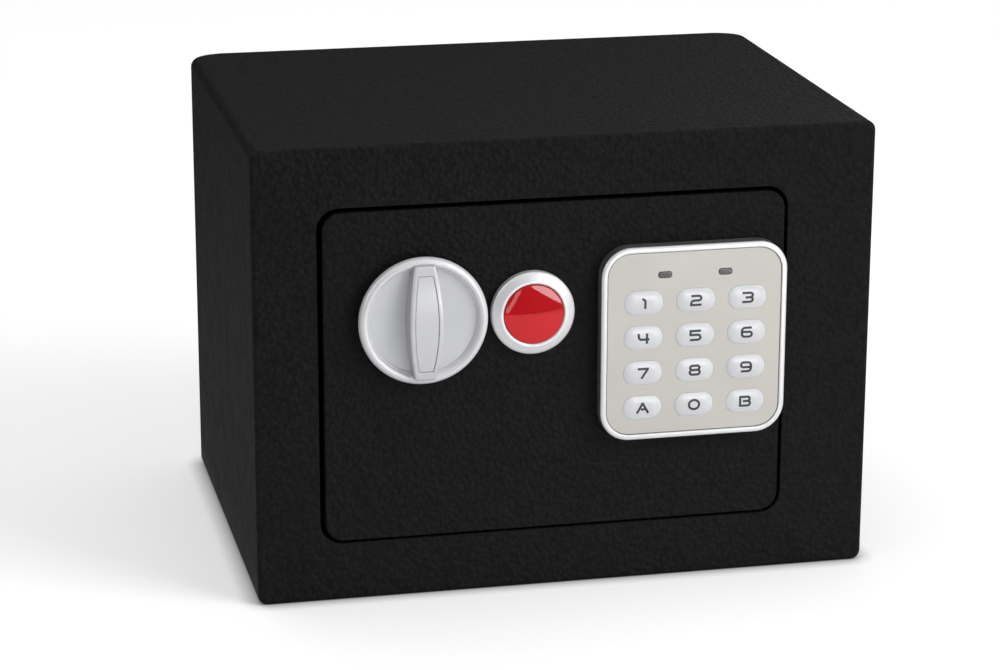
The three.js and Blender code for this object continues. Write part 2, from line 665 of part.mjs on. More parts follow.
function mechanismCover() {
  const outline = roundedRect(coverLeft, coverRight, coverBottom, coverTop, COVER_RADIUS);
  const inner = roundedRect(coverLeft + COVER_SHEET, coverRight - COVER_SHEET,
    coverBottom + COVER_SHEET, coverTop - COVER_SHEET, COVER_RADIUS - COVER_SHEET);
  const boltHoles = boltHeights.map((z) => rodAcross(BOLT_RADIUS + BOLT_HOLE_CLEARANCE,
    coverLeft - OVERCUT, coverLeft + COVER_SHEET + OVERCUT, boltD, z));
  const through = [coverInnerD - OVERCUT, coverBackD + OVERCUT];
  const screwHoles = screwPlaces.map(([, x, z]) =>
    rod(SCREW_RADIUS + SCREW_CLEARANCE, ...through, x, z, FACETS_SMALL));
  const window = block(trayLeft, trayRight, ...through, trayBottom, trayTop);
  const resetHole = rod(RESET_RADIUS + FIT_GAP, ...through, resetX, resetZ, FACETS_SMALL);
  return cut(plate(outline, doorBackD, coverBackD), plate(inner, doorBackD - OVERCUT, coverInnerD),
    window, resetHole, ...boltHoles, ...screwHoles);
}

function coverScrew(x, z) {
  const headD = coverBackD + SCREW_HEAD_HEIGHT;
  const profile = [
    [0, doorBackD - SCREW_TAPPED_DEPTH + SCREW_CLEARANCE],
    [SCREW_RADIUS, doorBackD - SCREW_TAPPED_DEPTH + SCREW_CLEARANCE],
    [SCREW_RADIUS, coverBackD],
    [SCREW_HEAD_RADIUS, coverBackD],
    [SCREW_HEAD_RADIUS, headD - SCREW_HEAD_BEVEL],
    [SCREW_HEAD_RADIUS - SCREW_HEAD_BEVEL, headD],
    [0, headD],
  ];
  const socket = plate(circle(x, z, SCREW_SOCKET_RADIUS, 6), coverBackD, headD + OVERCUT);
  return cut(turned(profile, x, z, FACETS_SMALL), socket);
}

// Keypad

const keypadOutline = (inset) => roundedRect(
  keypadX - KEYPAD_WIDTH / 2 + inset, keypadX + KEYPAD_WIDTH / 2 - inset,
  keypadZ - KEYPAD_HEIGHT / 2 + inset, keypadZ + KEYPAD_HEIGHT / 2 - inset,
  KEYPAD_RADIUS - inset, 5);

function keypadHousing() {
  const round = KEYPAD_RIM_ROUND;
  const outer = roundEdgedPlate(keypadOutline(0), keypadFrontD, doorFrontD + round, round, 3);
  const behind = block(doorLeft, doorRight + GAP_HINGE, doorFrontD, doorFrontD + 2 * round,
    doorBottom, doorTop);
  const seat = plate(keypadOutline(KEYPAD_RIM), keypadFrontD - OVERCUT, faceBackD);
  const pocket = plate(keypadOutline(KEYPAD_RIM + KEYPAD_LEDGE), faceBackD - OVERCUT, floorD);
  const wireHole = rod(WIRE_HOLE_RADIUS, floorD - OVERCUT, doorFrontD + OVERCUT, keypadX, keypadZ);
  return cut(outer, behind, seat, pocket, wireHole);
}

function keyPlaces() {
  return KEY_LABELS.flatMap((row, i) => row.map((label, j) => ({
    label,
    x: keypadX + KEYS_OFF_CENTRE + (j - 1) * KEY_PITCH_X,
    z: keypadZ + KEY_FIRST_ROW - i * KEY_PITCH_Z,
  })));
}

const keyOutline = (x, z, grow) => roundedRect(
  x - KEY_WIDTH / 2 - grow, x + KEY_WIDTH / 2 + grow,
  z - KEY_HEIGHT / 2 - grow, z + KEY_HEIGHT / 2 + grow, KEY_RADIUS + grow, 3);

const windowPlaces = [
  ['led_window_left', keypadX - WINDOW_SPACING / 2],
  ['led_window_right', keypadX + WINDOW_SPACING / 2],
];

const windowOutline = (x, grow) => roundedRect(
  x - WINDOW_WIDTH / 2 - grow, x + WINDOW_WIDTH / 2 + grow,
  keypadZ + WINDOW_ABOVE_CENTRE - WINDOW_HEIGHT / 2 - grow,
  keypadZ + WINDOW_ABOVE_CENTRE + WINDOW_HEIGHT / 2 + grow, WINDOW_HEIGHT / 2 - FIT_GAP, 3);

function keypadFaceplate() {
  const keyHoles = keyPlaces().map(({ x, z }) =>
    plate(keyOutline(x, z, KEY_CLEARANCE), faceD - OVERCUT, faceBackD + OVERCUT));
  const windowHoles = windowPlaces.map(([, x]) =>
    plate(windowOutline(x, FIT_GAP), faceD - OVERCUT, faceBackD + OVERCUT));
  return cut(plate(keypadOutline(KEYPAD_RIM + FIT_GAP), faceD, faceBackD), ...keyHoles,
    ...windowHoles);
}

function keypadBoard() {
  const board = plate(keypadOutline(KEYPAD_RIM + KEYPAD_LEDGE + BOARD_GAP), boardD, floorD);
  return cut(board, rod(BOARD_HOLE_RADIUS, boardD - OVERCUT, floorD + OVERCUT, keypadX, keypadZ));
}

const ledWindow = (x) => plate(windowOutline(x, 0), faceD - WINDOW_PROUD, boardD - WINDOW_PROUD);

// A key: a dome that steps in towards its top, a shank in the faceplate and a wider flange behind.
function keyCap({ x, z }) {
  const flangeD = faceBackD + FIXED_GAP;
  const domeD = faceD - KEY_EDGE;
  const shank = plate(keyOutline(x, z, 0), domeD, flangeD);
  const crown = roundEdgedPlate(keyOutline(x, z, 0), faceD - KEY_PROUD,
    faceD - KEY_PROUD + 2 * KEY_DOME_STEP, KEY_DOME_STEP);
  const band = plate(keyOutline(x, z, KEY_FLANGE_LIP), faceD - KEY_PROUD, domeD);
  const flange = plate(keyOutline(x, z, KEY_FLANGE_LIP), flangeD, flangeD + KEY_FLANGE);
  return join(shank, crown.intersect(band), flange);
}

// Knob

const knobBaseD = doorFrontD - KNOB_GAP;
const spindleTopD = doorFrontD - (RIM_CREST - DISH_DEPTH + SPINDLE_REACH);

// Depth of the grip's crowned top at a height above the knob's centre, lowered by some amount.
function gripTop(lowered) {
  const rise = GRIP_MID_HEIGHT - GRIP_END_HEIGHT;
  const radius = (GRIP_HALF_LENGTH ** 2 + rise ** 2) / (2 * rise);
  const half = Math.asin(GRIP_HALF_LENGTH / radius);
  const centreD = doorFrontD - GRIP_MID_HEIGHT + lowered + radius;
  return arc(0, 0, radius, half, -half, 10).map(({ x, y }) => new THREE.Vector2(centreD - x, knobZ + y));
}

// The space below the grip's crowned top, across the width of the grip.
function underCrown(lowered, fromD) {
  const top = gripTop(lowered);
  const outline = [
    new THREE.Vector2(fromD, knobZ - GRIP_HALF_LENGTH),
    new THREE.Vector2(fromD, knobZ + GRIP_HALF_LENGTH),
    ...top,
  ].map(({ x, y }) => new THREE.Vector2(yAt(x), y));
  const sideways = new THREE.Matrix4().makeBasis(
    new THREE.Vector3(0, 1, 0), new THREE.Vector3(0, 0, 1), new THREE.Vector3(1, 0, 0));
  return solid(prismZ(outline, knobX - KNOB_RADIUS, knobX + KNOB_RADIUS).applyMatrix4(sideways));
}

// The grip in plan: two bulging sides between square ends.
function gripOutline(inset, endInset) {
  const halfLength = GRIP_HALF_LENGTH - endInset;
  const bulge = GRIP_MID_HALF_WIDTH - GRIP_END_HALF_WIDTH;
  const radius = (GRIP_HALF_LENGTH ** 2 + bulge ** 2) / (2 * bulge);
  const centre = radius - GRIP_MID_HALF_WIDTH;
  const half = Math.asin(halfLength / (radius - inset));
  const right = arc(knobX - centre, knobZ, radius - inset, -half, half, 8);
  const left = arc(knobX + centre, knobZ, radius - inset, Math.PI - half, Math.PI + half, 8);
  return [...right, ...left];
}

function knobDial() {
  const top = (height) => doorFrontD - height;
  const crestRadius = (KNOB_RADIUS + RIM_INNER_RADIUS) / 2;
  const outside = arc(0, 0, 1, 0, Math.PI / 2, 4).map(({ x, y }) => [
    crestRadius + (KNOB_RADIUS - crestRadius) * x,
    top(RIM_SHOULDER + (RIM_CREST - RIM_SHOULDER) * y)]);
  const inside = arc(0, 0, 1, Math.PI / 2, 0, 3).slice(1).map(({ x, y }) => [
    crestRadius - (crestRadius - RIM_INNER_RADIUS) * x,
    top(RIM_CREST - RIM_FALL * (1 - y))]);
  const baseRadius = KNOB_RADIUS - KNOB_TAPER;
  const dishTop = RIM_CREST - DISH_DEPTH;
  const under = dishTop - KNOB_WALL;
  const gripFootD = top(dishTop - DISH_CROWN - DISH_WALL);
  const profile = [
    [HUB_RADIUS, knobBaseD],
    [HUB_RADIUS, top(under)],
    [baseRadius - 2 * KNOB_WALL, top(under)],
    [baseRadius - KNOB_WALL, knobBaseD],
    [baseRadius, knobBaseD],
    ...outside,
    ...inside,
    [RIM_INNER_RADIUS - DISH_WALL, top(dishTop)],
    [0, top(dishTop - DISH_CROWN)],
    [0, knobBaseD],
  ];
  const dial = turned(profile, knobX, knobZ, FACETS_LARGE);
  const plan = plate(gripOutline(0, 0), -CABINET_DEPTH, gripFootD);
  const grip = plan.intersect(underCrown(0, gripFootD));
  const recess = cut(plate(gripOutline(INLAY_BORDER, INLAY_END_BORDER), -CABINET_DEPTH, top(dishTop)),
    underCrown(INLAY_DEPTH, top(0)));
  const socket = rod(SPINDLE_RADIUS + FIXED_GAP, spindleTopD - FIXED_GAP, knobBaseD + OVERCUT,
    knobX, knobZ);
  return cut(join(dial, grip), recess, socket);
}

function knobInlay() {
  const plan = plate(gripOutline(INLAY_BORDER + INLAY_GAP, INLAY_END_BORDER + INLAY_GAP),
    -CABINET_DEPTH, doorFrontD);
  return cut(plan.intersect(underCrown(INLAY_SINK, doorFrontD)),
    underCrown(INLAY_DEPTH - FIXED_GAP, doorFrontD + OVERCUT));
}

const knobSpindle = () => rod(SPINDLE_RADIUS, spindleTopD, camD, knobX, knobZ);

function spindleBush() {
  const bore = SPINDLE_RADIUS + FIT_GAP;
  const flangeD = doorBackD + BUSH_FLANGE;
  const profile = [
    [bore, doorFrontD],
    [BUSH_RADIUS, doorFrontD],
    [BUSH_RADIUS, doorBackD],
    [BUSH_FLANGE_RADIUS, doorBackD],
    [BUSH_FLANGE_RADIUS, flangeD],
    [bore, flangeD],
  ];
  return turned(profile, knobX, knobZ);
}

const crankX = knobX + CRANK_RADIUS * Math.sin(CRANK_START);
const crankZ = knobZ + CRANK_RADIUS * Math.cos(CRANK_START);

function spindleCam() {
  const lever = taperedBar(knobX, knobZ, CAM_HUB_RADIUS, crankX, crankZ, CAM_TIP_RADIUS);
  const pin = rod(CRANK_PIN_RADIUS, camBackD, camBackD + CRANK_PIN_LENGTH, crankX, crankZ);
  return join(plate(lever, camD, camBackD), pin);
}

// Boltwork

const guidePlaces = [
  ['guide_stud_lower', flangeX + GUIDE_LOWER_FROM_FLANGE, doorMidZ - GUIDE_LOWER_BELOW_MID],
  ['guide_stud_upper', lockX - LOCK_RADIUS - GUIDE_UPPER_FROM_LOCK, doorMidZ],
];

// A slot with round ends through the carrier, from one centre of its end to the other.
function carrierSlot(half, x0, x1, z0, z1) {
  const outline = roundedRect(x0 - half, x1 + half, z0 - half, z1 + half, half - SLOT_END_FLAT / 2, 3);
  return plate(outline, carrierD - OVERCUT, carrierBackD + OVERCUT);
}

function boltCarrier() {
  const [, lowX, lowZ] = guidePlaces[0];
  const [, highX, highZ] = guidePlaces[1];
  const guideHalf = GUIDE_RADIUS + GUIDE_SLOT_CLEARANCE;
  const web = guideHalf + GUIDE_WEB;
  const slotHalf = CRANK_PIN_RADIUS + CRANK_SLOT_CLEARANCE;
  const slotTop = knobZ + CRANK_RADIUS + slotHalf;
  const boltEdge = BOLT_RADIUS + CARRIER_LIP;
  const rightX = plungerX + PLUNGER_RADIUS + GUIDE_WEB / 2;
  const toe = highX + boltThrow + web;
  const outline = [
    [flangeX, boltHeights[1] - boltEdge],
    [flangeX + boltEdge + GUIDE_WEB, boltHeights[1] - boltEdge],
    [lowX + boltThrow + web, lowZ - web],
    [lowX + boltThrow + web, highZ - web],
    [toe, highZ - web],
    [toe, highZ + web],
    [rightX, highZ + web],
    [rightX, stepZ],
    [crankX + slotHalf + 2 * GUIDE_WEB, stepZ],
    [crankX + slotHalf + GUIDE_WEB, slotTop + GUIDE_WEB],
    [crankX - slotHalf - GUIDE_WEB, slotTop + GUIDE_WEB],
    [flangeX, boltHeights[0] + boltEdge],
  ].map(([x, z]) => new THREE.Vector2(x, z));
  const flange = block(flangeX, flangeX + CARRIER_THICKNESS, carrierD, flangeBackD,
    boltHeights[1] - boltEdge, boltHeights[0] + boltEdge);
  const crankSlot = carrierSlot(slotHalf, crankX, crankX, crankZ, knobZ + CRANK_RADIUS);
  const guides = guidePlaces.map(([, x, z]) => carrierSlot(guideHalf, x, x + boltThrow, z, z));
  const rivetHoles = boltHeights.map((z) => rodAcross(BOLT_NECK_RADIUS + FIXED_GAP, flangeX - OVERCUT,
    flangeX + CARRIER_THICKNESS + OVERCUT, boltD, z));
  return cut(join(plate(outline, carrierD, carrierBackD), flange), crankSlot, ...guides, ...rivetHoles);
}

function bolt(z) {
  const rivetX = flangeX + CARRIER_THICKNESS;
  const profile = [
    [0, boltTipX],
    [BOLT_RADIUS - BOLT_CHAMFER, boltTipX],
    [BOLT_RADIUS, boltTipX + BOLT_CHAMFER],
    [BOLT_RADIUS, flangeX],
    [BOLT_NECK_RADIUS, flangeX],
    [BOLT_NECK_RADIUS, rivetX],
    [BOLT_RIVET_RADIUS, rivetX],
    [BOLT_NECK_RADIUS, rivetX + BOLT_RIVET_HEIGHT],
    [0, rivetX + BOLT_RIVET_HEIGHT],
  ];
  return turnedAcross(profile, boltD, z);
}

function guideStud(x, z) {
  const collarD = carrierD - GUIDE_SLOT_CLEARANCE;
  const headD = carrierBackD + GUIDE_SLOT_CLEARANCE;
  const profile = [
    [0, doorBackD],
    [GUIDE_COLLAR_RADIUS, doorBackD],
    [GUIDE_COLLAR_RADIUS, collarD],
    [GUIDE_RADIUS, collarD],
    [GUIDE_RADIUS, headD],
    [GUIDE_HEAD_RADIUS, headD],
    [GUIDE_HEAD_RADIUS, headD + GUIDE_HEAD_HEIGHT],
    [0, headD + GUIDE_HEAD_HEIGHT],
  ];
  return turned(profile, x, z);
}

// Override lock

function lockEscutcheon() {
  const top = (height) => doorFrontD - height;
  const profile = [
    [RING_INNER_RADIUS, top(0)],
    [RING_RADIUS, top(0)],
    [RING_RADIUS, top(RING_EDGE)],
    [RING_RADIUS - RING_FOOT_SLOPE, top(RING_EDGE + RING_FOOT_SLOPE)],
    [RING_INNER_RADIUS + RING_BEVEL + RING_LAND, top(RING_CREST)],
    [RING_INNER_RADIUS + RING_BEVEL, top(RING_CREST)],
    [RING_INNER_RADIUS, top(RING_CREST - RING_BEVEL)],
  ];
  return turned(profile, lockX, lockZ, FACETS_LARGE);
}

function lockCap() {
  const radius = RING_INNER_RADIUS - FIT_GAP;
  const edgeD = doorFrontD - CAP_SEAT - CAP_EDGE;
  const sphere = (radius ** 2 + CAP_DOME ** 2) / (2 * CAP_DOME);
  const half = Math.asin(radius / sphere);
  const dome = arc(0, 0, sphere, half, 0, 4).map(({ x, y }) => [y, edgeD - (x - sphere + CAP_DOME)]);
  dome[dome.length - 1][0] = 0;
  const profile = [[0, doorFrontD - CAP_SEAT], [radius, doorFrontD - CAP_SEAT], ...dome];
  return turned(profile, lockX, lockZ, FACETS_LARGE);
}

function lockBody() {
  const profile = [
    [PLUG_RADIUS + FIT_GAP, doorFrontD - LOCK_HEAD],
    [RING_INNER_RADIUS - LOCK_HEAD_GAP, doorFrontD - LOCK_HEAD],
    [RING_INNER_RADIUS - LOCK_HEAD_GAP, doorFrontD],
    [LOCK_RADIUS, doorFrontD],
    [LOCK_RADIUS, lockBackD],
    [PLUG_RADIUS + FIT_GAP, lockBackD],
  ];
  return turned(profile, lockX, lockZ);
}

function lockNut() {
  const hexagon = circle(lockX, lockZ, NUT_FLATS / 2 / Math.cos(Math.PI / 6), 6);
  const nutBackD = doorBackD + NUT_THICKNESS;
  return cut(plate(hexagon, doorBackD, nutBackD),
    rod(LOCK_RADIUS + FIT_GAP, doorBackD - OVERCUT, nutBackD + OVERCUT, lockX, lockZ));
}

function lockPlug() {
  const frontD = doorFrontD - LOCK_HEAD + PLUG_SET_BACK;
  const profile = [
    [0, frontD],
    [PLUG_RADIUS, frontD],
    [PLUG_RADIUS, lockBackD],
    [STUB_RADIUS, lockBackD],
    [STUB_RADIUS, lockBackD + STUB_LENGTH],
    [0, lockBackD + STUB_LENGTH],
  ];
  const keyway = block(lockX - KEYWAY_WIDTH / 2, lockX + KEYWAY_WIDTH / 2, frontD - OVERCUT,
    frontD + KEYWAY_DEPTH, lockZ - KEYWAY_HEIGHT / 2, lockZ + KEYWAY_HEIGHT / 2);
  return cut(turned(profile, lockX, lockZ), keyway);
}

// The tail stands a quarter turn short of the place where it holds the plunger's collar up.
function lockTail() {
  const heading = Math.PI - TAIL_LIFT + TAIL_SWEEP;
  const tailD = lockBackD + TAIL_GAP;
  const lever = taperedBar(lockX, lockZ, TAIL_HUB_RADIUS, lockX + TAIL_REACH * Math.cos(heading),
    lockZ + TAIL_REACH * Math.sin(heading), TAIL_TIP_RADIUS);
  return cut(plate(lever, tailD, tailD + TAIL_THICKNESS),
    rod(STUB_RADIUS + FIXED_GAP, tailD - OVERCUT, tailD + TAIL_THICKNESS + OVERCUT, lockX, lockZ));
}

// Solenoid

const solenoidBottom = lockZ + SOLENOID_ABOVE_LOCK;
const solenoidTop = solenoidBottom + SOLENOID_HEIGHT;
const collarBottom = lockZ + TAIL_REACH * Math.sin(TAIL_LIFT) + TAIL_TIP_RADIUS + TAIL_GAP;
const collarTop = collarBottom + PLUNGER_COLLAR_HEIGHT;
const plungerBottom = stepZ + PLUNGER_REST_GAP;

function solenoidPlunger() {
  const profile = [
    [0, plungerBottom],
    [PLUNGER_RADIUS - FIT_GAP, plungerBottom],
    [PLUNGER_RADIUS, plungerBottom + FIT_GAP],
    [PLUNGER_RADIUS, collarBottom],
    [PLUNGER_COLLAR_RADIUS, collarBottom],
    [PLUNGER_COLLAR_RADIUS, collarTop],
    [PLUNGER_RADIUS, collarTop],
    [PLUNGER_RADIUS, plungerBottom + PLUNGER_LENGTH],
    [0, plungerBottom + PLUNGER_LENGTH],
  ];
  return turnedUpright(profile, plungerX, carrierMidD);
}

function solenoidFrame() {
  const half = SOLENOID_WIDTH / 2;
  const farD = carrierMidD + COIL_RADIUS + COIL_GAP;
  const web = block(plungerX - half, plungerX + half, doorBackD, doorBackD + SOLENOID_PLATE,
    solenoidBottom, solenoidTop);
  const ends = [solenoidBottom, solenoidTop - SOLENOID_PLATE].map((z) =>
    block(plungerX - half, plungerX + half, doorBackD, farD, z, z + SOLENOID_PLATE));
  const bore = rodUpright(PLUNGER_RADIUS + BORE_GAP, solenoidBottom - OVERCUT,
    solenoidBottom + SOLENOID_PLATE + OVERCUT, plungerX, carrierMidD);
  return cut(join(web, ...ends), bore);
}

function solenoidCoil() {
  const bottom = solenoidBottom + SOLENOID_PLATE;
  const top = solenoidTop - SOLENOID_PLATE;
  const waist = COIL_RADIUS - 2 * COIL_GAP;
  const profile = [
    [PLUNGER_RADIUS + BORE_GAP, bottom],
    [COIL_RADIUS, bottom],
    [COIL_RADIUS, bottom + SOLENOID_PLATE],
    [waist, bottom + SOLENOID_PLATE],
    [waist, top - SOLENOID_PLATE],
    [COIL_RADIUS, top - SOLENOID_PLATE],
    [COIL_RADIUS, top],
    [PLUNGER_RADIUS + BORE_GAP, top],
  ];
  return turnedUpright(profile, plungerX, carrierMidD);
}

class Helix extends THREE.Curve {
  constructor(radius, turns, height) {
    super();
    Object.assign(this, { radius, turns, height });
  }

  getPoint(t, target = new THREE.Vector3()) {
    const angle = 2 * Math.PI * this.turns * t;
    return target.set(this.radius * Math.cos(angle), this.radius * Math.sin(angle), this.height * t);
  }
}

function plungerSpring() {
  const radius = PLUNGER_RADIUS + BORE_GAP + 2 * SPRING_WIRE;
  const low = collarTop + 2 * SPRING_WIRE;
  const high = solenoidBottom - 2 * SPRING_WIRE;
  const section = new THREE.Shape(circle(0, 0, SPRING_WIRE, SPRING_SIDES));
  const path = new Helix(radius, SPRING_TURNS, high - low);
  const steps = SPRING_STEPS_PER_TURN * SPRING_TURNS;
  const coil = new THREE.ExtrudeGeometry(section, { extrudePath: path, steps });
  return solid(coil.translate(plungerX, yAt(carrierMidD), low));
}

// Batteries and code reset

const cellPlaces = Array.from({ length: CELL_COUNT }, (_, i) => ({
  name: `battery_${i + 1}`,
  x: trayLeft + cellPitch * (i + 0.5),
  nubUp: i % 2 === 0,
}));
const cellD = trayFloorD + CELL_GAP + CELL_RADIUS;

function batteryTray() {
  const wall = TRAY_WALL;
  const well = block(trayLeft - wall, trayRight + wall, trayFloorD - wall, coverInnerD,
    trayBottom - wall, trayTop + wall);
  const rim = wall + TRAY_FLANGE;
  const flange = block(trayLeft - rim, trayRight + rim, coverInnerD - wall, coverInnerD,
    trayBottom - rim, trayTop + rim);
  const hollow = block(trayLeft, trayRight, trayFloorD, coverInnerD + OVERCUT, trayBottom, trayTop);
  return cut(join(well, flange), hollow);
}

function batteryCell({ x, nubUp }) {
  const bottom = trayBottom + CELL_END_GAP + (nubUp ? 0 : CELL_NUB_LENGTH);
  const top = bottom + CELL_LENGTH;
  const middle = (bottom + top) / 2;
  const nub = nubUp ? [middle, top + CELL_NUB_LENGTH] : [bottom - CELL_NUB_LENGTH, middle];
  return join(rodUpright(CELL_RADIUS, bottom, top, x, cellD, FACETS),
    rodUpright(CELL_NUB_RADIUS, ...nub, x, cellD));
}

function batteryCover() {
  const lidBackD = coverBackD + LID_THICKNESS;
  const lid = plate(roundedRect(trayLeft - LID_OVERLAP, trayRight + LID_OVERLAP,
    trayBottom - LID_OVERLAP, trayTop + LID_OVERLAP, LID_OVERLAP, 3), coverBackD, lidBackD);
  const lipBlock = (inset, nearD) => block(trayLeft + inset, trayRight - inset, nearD, coverBackD,
    trayBottom + inset, trayTop - inset);
  const lip = cut(lipBlock(LID_LIP_GAP, coverBackD - LID_LIP),
    lipBlock(LID_LIP_GAP + LID_LIP_WALL, coverBackD - LID_LIP - OVERCUT));
  const midX = (trayLeft + trayRight) / 2;
  const tab = block(midX - LID_TAB_WIDTH / 2, midX + LID_TAB_WIDTH / 2, lidBackD,
    lidBackD + LID_TAB_DEPTH, trayTop - 2 * LID_TAB_HEIGHT, trayTop - LID_TAB_HEIGHT);
  return join(lid, lip, tab);
}

function resetSwitch() {
  const half = SWITCH_SIZE / 2;
  const nearD = coverInnerD - SWITCH_DEPTH;
  const body = block(resetX - half, resetX + half, nearD, coverInnerD, resetZ - half, resetZ + half);
  const bore = rod(RESET_RADIUS + FIT_GAP, nearD + SWITCH_FLOOR, coverInnerD + OVERCUT, resetX, resetZ,
    FACETS_SMALL);
  return cut(body, bore);
}

function resetButton() {
  const nearD = coverInnerD - SWITCH_DEPTH + SWITCH_FLOOR + RESET_TRAVEL + FIT_GAP;
  return rod(RESET_RADIUS, nearD, coverBackD + RESET_PROUD, resetX, resetZ, FACETS_SMALL);
}

addPiece('cabinet_shell', cabinetShell(), 'powderCoat');
addPiece('back_panel', backPanel(), 'powderCoat');
addPiece('floor_mat', floorMat(), 'feltGrey');
addPiece('bolt_keeper', boltKeeper(), 'zincSteel');
addPiece('hinge_bracket_upper', hingeBracket(upperArmZ), 'zincSteel');
addPiece('hinge_bracket_lower', hingeBracket(lowerArmZ), 'zincSteel');
addPiece('hinge_pin_upper', hingePin(upperArmZ), 'brightSteel');
addPiece('hinge_pin_lower', hingePin(lowerArmZ), 'brightSteel');

addPiece('door_plate', doorPlate(), 'powderCoat');
addPiece('swan_neck_upper', swanNeck(upperArmZ), 'zincSteel');
addPiece('swan_neck_lower', swanNeck(lowerArmZ), 'zincSteel');
addPiece('mechanism_cover', mechanismCover(), 'powderCoat');
screwPlaces.forEach(([name, x, z]) => addPiece(name, coverScrew(x, z), 'brightSteel'));

addPiece('keypad_housing', keypadHousing(), 'chromeRim');
addPiece('keypad_faceplate', keypadFaceplate(), 'facePlastic');
addPiece('keypad_board', keypadBoard(), 'circuitBoard');
windowPlaces.forEach(([name, x]) => addPiece(name, ledWindow(x), 'smokedLens'));
keyPlaces().forEach((place) => addPiece(`key_${place.label}`, keyCap(place), 'keyPlastic'));

addPiece('knob_dial', knobDial(), 'silverPlastic');
addPiece('knob_inlay', knobInlay(), 'silverPlastic');
addPiece('knob_spindle', knobSpindle(), 'brightSteel');
addPiece('spindle_bush', spindleBush(), 'nylon');
addPiece('spindle_cam', spindleCam(), 'zincSteel');

addPiece('bolt_carrier', boltCarrier(), 'zincSteel');
addPiece('bolt_upper', bolt(boltHeights[0]), 'brightSteel');
addPiece('bolt_lower', bolt(boltHeights[1]), 'brightSteel');
guidePlaces.forEach(([name, x, z]) => addPiece(name, guideStud(x, z), 'brightSteel'));

addPiece('lock_escutcheon', lockEscutcheon(), 'brightSteel');
addPiece('lock_cap', lockCap(), 'redEnamel');
addPiece('lock_body', lockBody(), 'brightSteel');
addPiece('lock_nut', lockNut(), 'zincSteel');
addPiece('lock_plug', lockPlug(), 'brass');
addPiece('lock_tail', lockTail(), 'zincSteel');

addPiece('solenoid_frame', solenoidFrame(), 'zincSteel');
addPiece('solenoid_coil', solenoidCoil(), 'copperCoil');
addPiece('solenoid_plunger', solenoidPlunger(), 'brightSteel');
addPiece('plunger_spring', plungerSpring(), 'brightSteel');

addPiece('battery_tray', batteryTray(), 'blackPlastic');
cellPlaces.forEach((place) => addPiece(place.name, batteryCell(place), 'cellWrap'));
addPiece('battery_cover', batteryCover(), 'blackPlastic');
addPiece('reset_switch', resetSwitch(), 'blackPlastic');
addPiece('reset_button', resetButton(), 'redPlastic');

export default safe;
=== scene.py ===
"""Looks for a mini safe: a powder-coated cabinet and door with a knob, a keypad and an override lock.

Sizes in the classes are millimetres. An outline is a list of (across, up) points, and a depth is
counted from the plane of the cabinet's front towards its back.
"""

from __future__ import annotations

import functools
import json
import logging
import math
from collections.abc import Callable, Iterable, Sequence
from dataclasses import dataclass, replace
from enum import Enum
from itertools import pairwise
from typing import ClassVar

import bmesh
import bpy
from mathutils import Matrix, Vector


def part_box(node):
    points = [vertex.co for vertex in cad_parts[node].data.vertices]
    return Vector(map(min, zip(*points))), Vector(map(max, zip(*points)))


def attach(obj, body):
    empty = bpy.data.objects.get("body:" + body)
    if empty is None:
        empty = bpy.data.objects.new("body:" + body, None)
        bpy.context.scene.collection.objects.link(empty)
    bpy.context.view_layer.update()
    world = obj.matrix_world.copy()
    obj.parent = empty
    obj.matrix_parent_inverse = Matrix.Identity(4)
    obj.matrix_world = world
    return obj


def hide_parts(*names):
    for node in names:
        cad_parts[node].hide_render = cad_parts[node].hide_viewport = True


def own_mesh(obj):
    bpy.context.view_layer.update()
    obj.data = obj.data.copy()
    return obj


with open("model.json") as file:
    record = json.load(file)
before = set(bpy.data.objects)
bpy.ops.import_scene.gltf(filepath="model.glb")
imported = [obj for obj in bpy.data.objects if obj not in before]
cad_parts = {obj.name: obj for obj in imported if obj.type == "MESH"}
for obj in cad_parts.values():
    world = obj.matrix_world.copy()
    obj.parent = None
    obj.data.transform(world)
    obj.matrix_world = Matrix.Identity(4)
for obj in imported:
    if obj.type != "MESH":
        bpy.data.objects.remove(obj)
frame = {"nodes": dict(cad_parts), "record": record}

Colour = tuple[float, float, float]
Point = tuple[float, float]
Spot = tuple[float, float, float]
Outline = list[Point]
Ring = list[bmesh.types.BMVert]
Socket = bpy.types.NodeSocket

LOG = logging.getLogger("safe")
MM = 0.001
QUARTER = math.pi / 2
TINY = 1e-6
RUNNING_PLAY = 0.15  # round a piece that turns
OVERCUT = 1.0  # of a drill past a face
EASE_MOST = 0.4  # of a length, for a corner
CLOUD_LOW, CLOUD_HIGH = 0.3, 0.7  # where most of a noise lies
CORE_LOW, CORE_HIGH = 0.35, 0.65  # its middle, for more contrast
CELL_SOFTNESS = 0.6
WHITE = (1.0, 1.0, 1.0, 1.0)
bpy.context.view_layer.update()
FRONT_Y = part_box("cabinet_shell")[0].y
BODIES = {n: body for body, nodes in frame["record"]["behaviour"]["bodies"].items() for n in nodes}


# Finishes


